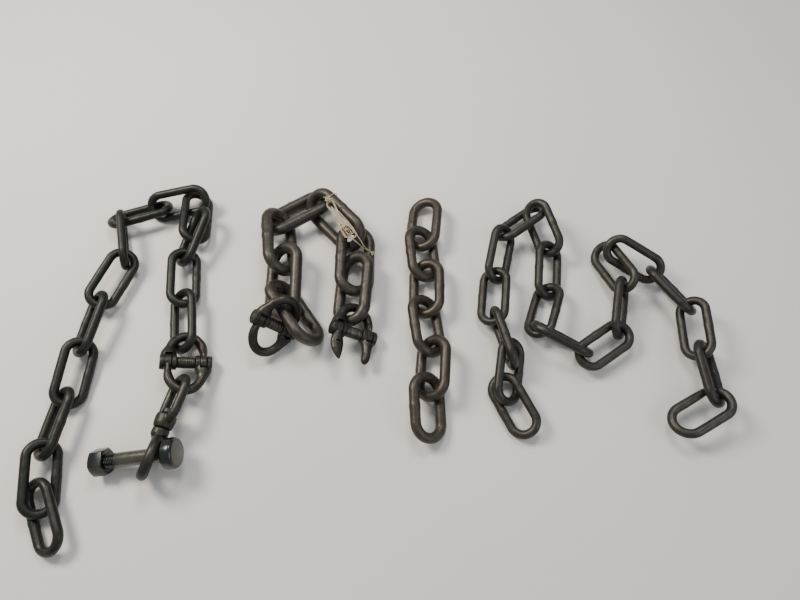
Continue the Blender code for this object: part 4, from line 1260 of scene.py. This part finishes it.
def cut_thread(bolt, pitch, length):
    """Sinks a helical thread into the shank's end, and fades it out where the cut ran out."""
    start = BOLT_END - length
    for vertex in bolt.data.vertices:
        x, y, z = vertex.co
        radius = sqrt(y * y + z * z)
        if x < start or radius < SHANK_RADIUS * 0.8:
            continue
        turn = (x / pitch - atan2(z, y) / (2 * pi)) % 1.0
        groove = min(1.0, max(0.0, 1.25 - 2.5 * abs(turn - 0.5)))
        sunk = THREAD_DEPTH * pitch * groove * eased(x, start, start + 2 * pitch)
        vertex.co.y *= (radius - sunk) / radius
        vertex.co.z *= (radius - sunk) / radius


class HEAP_OT_bolt(bpy.types.Operator):
    """The bolt with its glossy round head and its thread, and the hexagon nut"""

    bl_idname = "heap.bolt"
    bl_label = "Bolt and nut"

    def execute(self, context):
        shapes = context.scene.heap_shapes
        matrix = bolt_place()
        start, end = BOLT_END - shapes.thread_length, BOLT_END - BOLT_POINT[0]
        profile = list(BOLT_HEAD) + [(x, SHANK_RADIUS) for x in np.linspace(0.01, start, 8)]
        count = ceil((end - start) / THREAD_STEP)
        profile += [(start + (end - start) * (i + 1) / count, SHANK_RADIUS) for i in range(count)]
        profile += [(BOLT_END - BOLT_POINT[0] / 2, SHANK_RADIUS - 0.0010),
                    (BOLT_END, SHANK_RADIUS - BOLT_POINT[1]), (BOLT_END, 0)]
        bolt = turned("bolt_threaded", profile, 64)
        cut_thread(bolt, shapes.thread_pitch, shapes.thread_length)
        begin, full, fade, gone = RUBBED_SHANK
        write_wear_and_highlight(bolt, [0.75 * eased(x, begin, full) * (1 - eased(x, fade, gone))
                          for x in vertex_data(bolt)[0][:, 0]])
        dressed(bolt, "bolt_steel", "bolt", matrix, 40, lumps=0)

        deselect_all()
        bpy.ops.mesh.primitive_cylinder_add(vertices=6, radius=NUT_CORNER, depth=2 * NUT_HALF,
                                            rotation=(0, pi / 2, 0))
        nut = context.active_object
        nut.name = "bolt_nut_chamfered"
        apply_place()
        cut(nut, turned("nut chamfer", NUT_CHAMFER, 96), "INTERSECT")
        cut(nut, turned("nut bore", NUT_BORE))
        apply_modifier(nut, "BEVEL", width=0.0004, segments=2, limit_method="ANGLE",
                       angle_limit=radians(40))
        places = vertex_data(nut)[0]
        corner = places[np.argmax(np.hypot(places[:, 1], places[:, 2]))]
        turn = Matrix.Rotation(atan2(corner[2], corner[1]), 4, "X")
        write_wear_and_highlight(nut, np.zeros(len(places)))
        dressed(nut, "bolt_steel", "bolt_nut", nut_place(matrix) @ turn.inverted(), 25, lumps=0)
        return {"FINISHED"}


class HEAP_PT_panel(bpy.types.Panel):
    """Lists the heap's pieces"""

    bl_label = "Heap of steel chain"
    bl_idname = "HEAP_PT_panel"
    bl_space_type = "VIEW_3D"
    bl_region_type = "UI"
    bl_category = "Chain"

    def draw(self, context):
        for operator in OPERATORS:
            self.layout.operator(operator.bl_idname)
        for settings in (context.scene.heap_shapes, context.scene.heap_colours):
            column = self.layout.column()
            for name in settings.__annotations__:
                column.prop(settings, name)


OPERATORS = (HEAP_OT_stage, HEAP_OT_twine, HEAP_OT_left_chain, HEAP_OT_heavy_chain,
             HEAP_OT_straight_chain, HEAP_OT_right_chain, HEAP_OT_sprung_link, HEAP_OT_couplings,
             HEAP_OT_swivel, HEAP_OT_bolt)
CLASSES = (HeapShapeSettings, HeapColourSettings, *OPERATORS, HEAP_PT_panel)


def register():
    for made in CLASSES:
        bpy.utils.register_class(made)
    bpy.types.Scene.heap_shapes = bpy.props.PointerProperty(type=HeapShapeSettings)
    bpy.types.Scene.heap_colours = bpy.props.PointerProperty(type=HeapColourSettings)


def unregister():
    del bpy.types.Scene.heap_colours
    del bpy.types.Scene.heap_shapes
    for made in reversed(CLASSES):
        bpy.utils.unregister_class(made)


def main():
    register()
    bpy.ops.heap.stage()
    bpy.ops.heap.twine()
    bpy.ops.heap.left_chain()
    bpy.ops.heap.heavy_chain()
    bpy.ops.heap.straight_chain()
    bpy.ops.heap.right_chain()
    bpy.ops.heap.sprung_link()
    bpy.ops.heap.couplings()
    bpy.ops.heap.swivel()
    bpy.ops.heap.bolt()


if __name__ == "__main__":
    main()
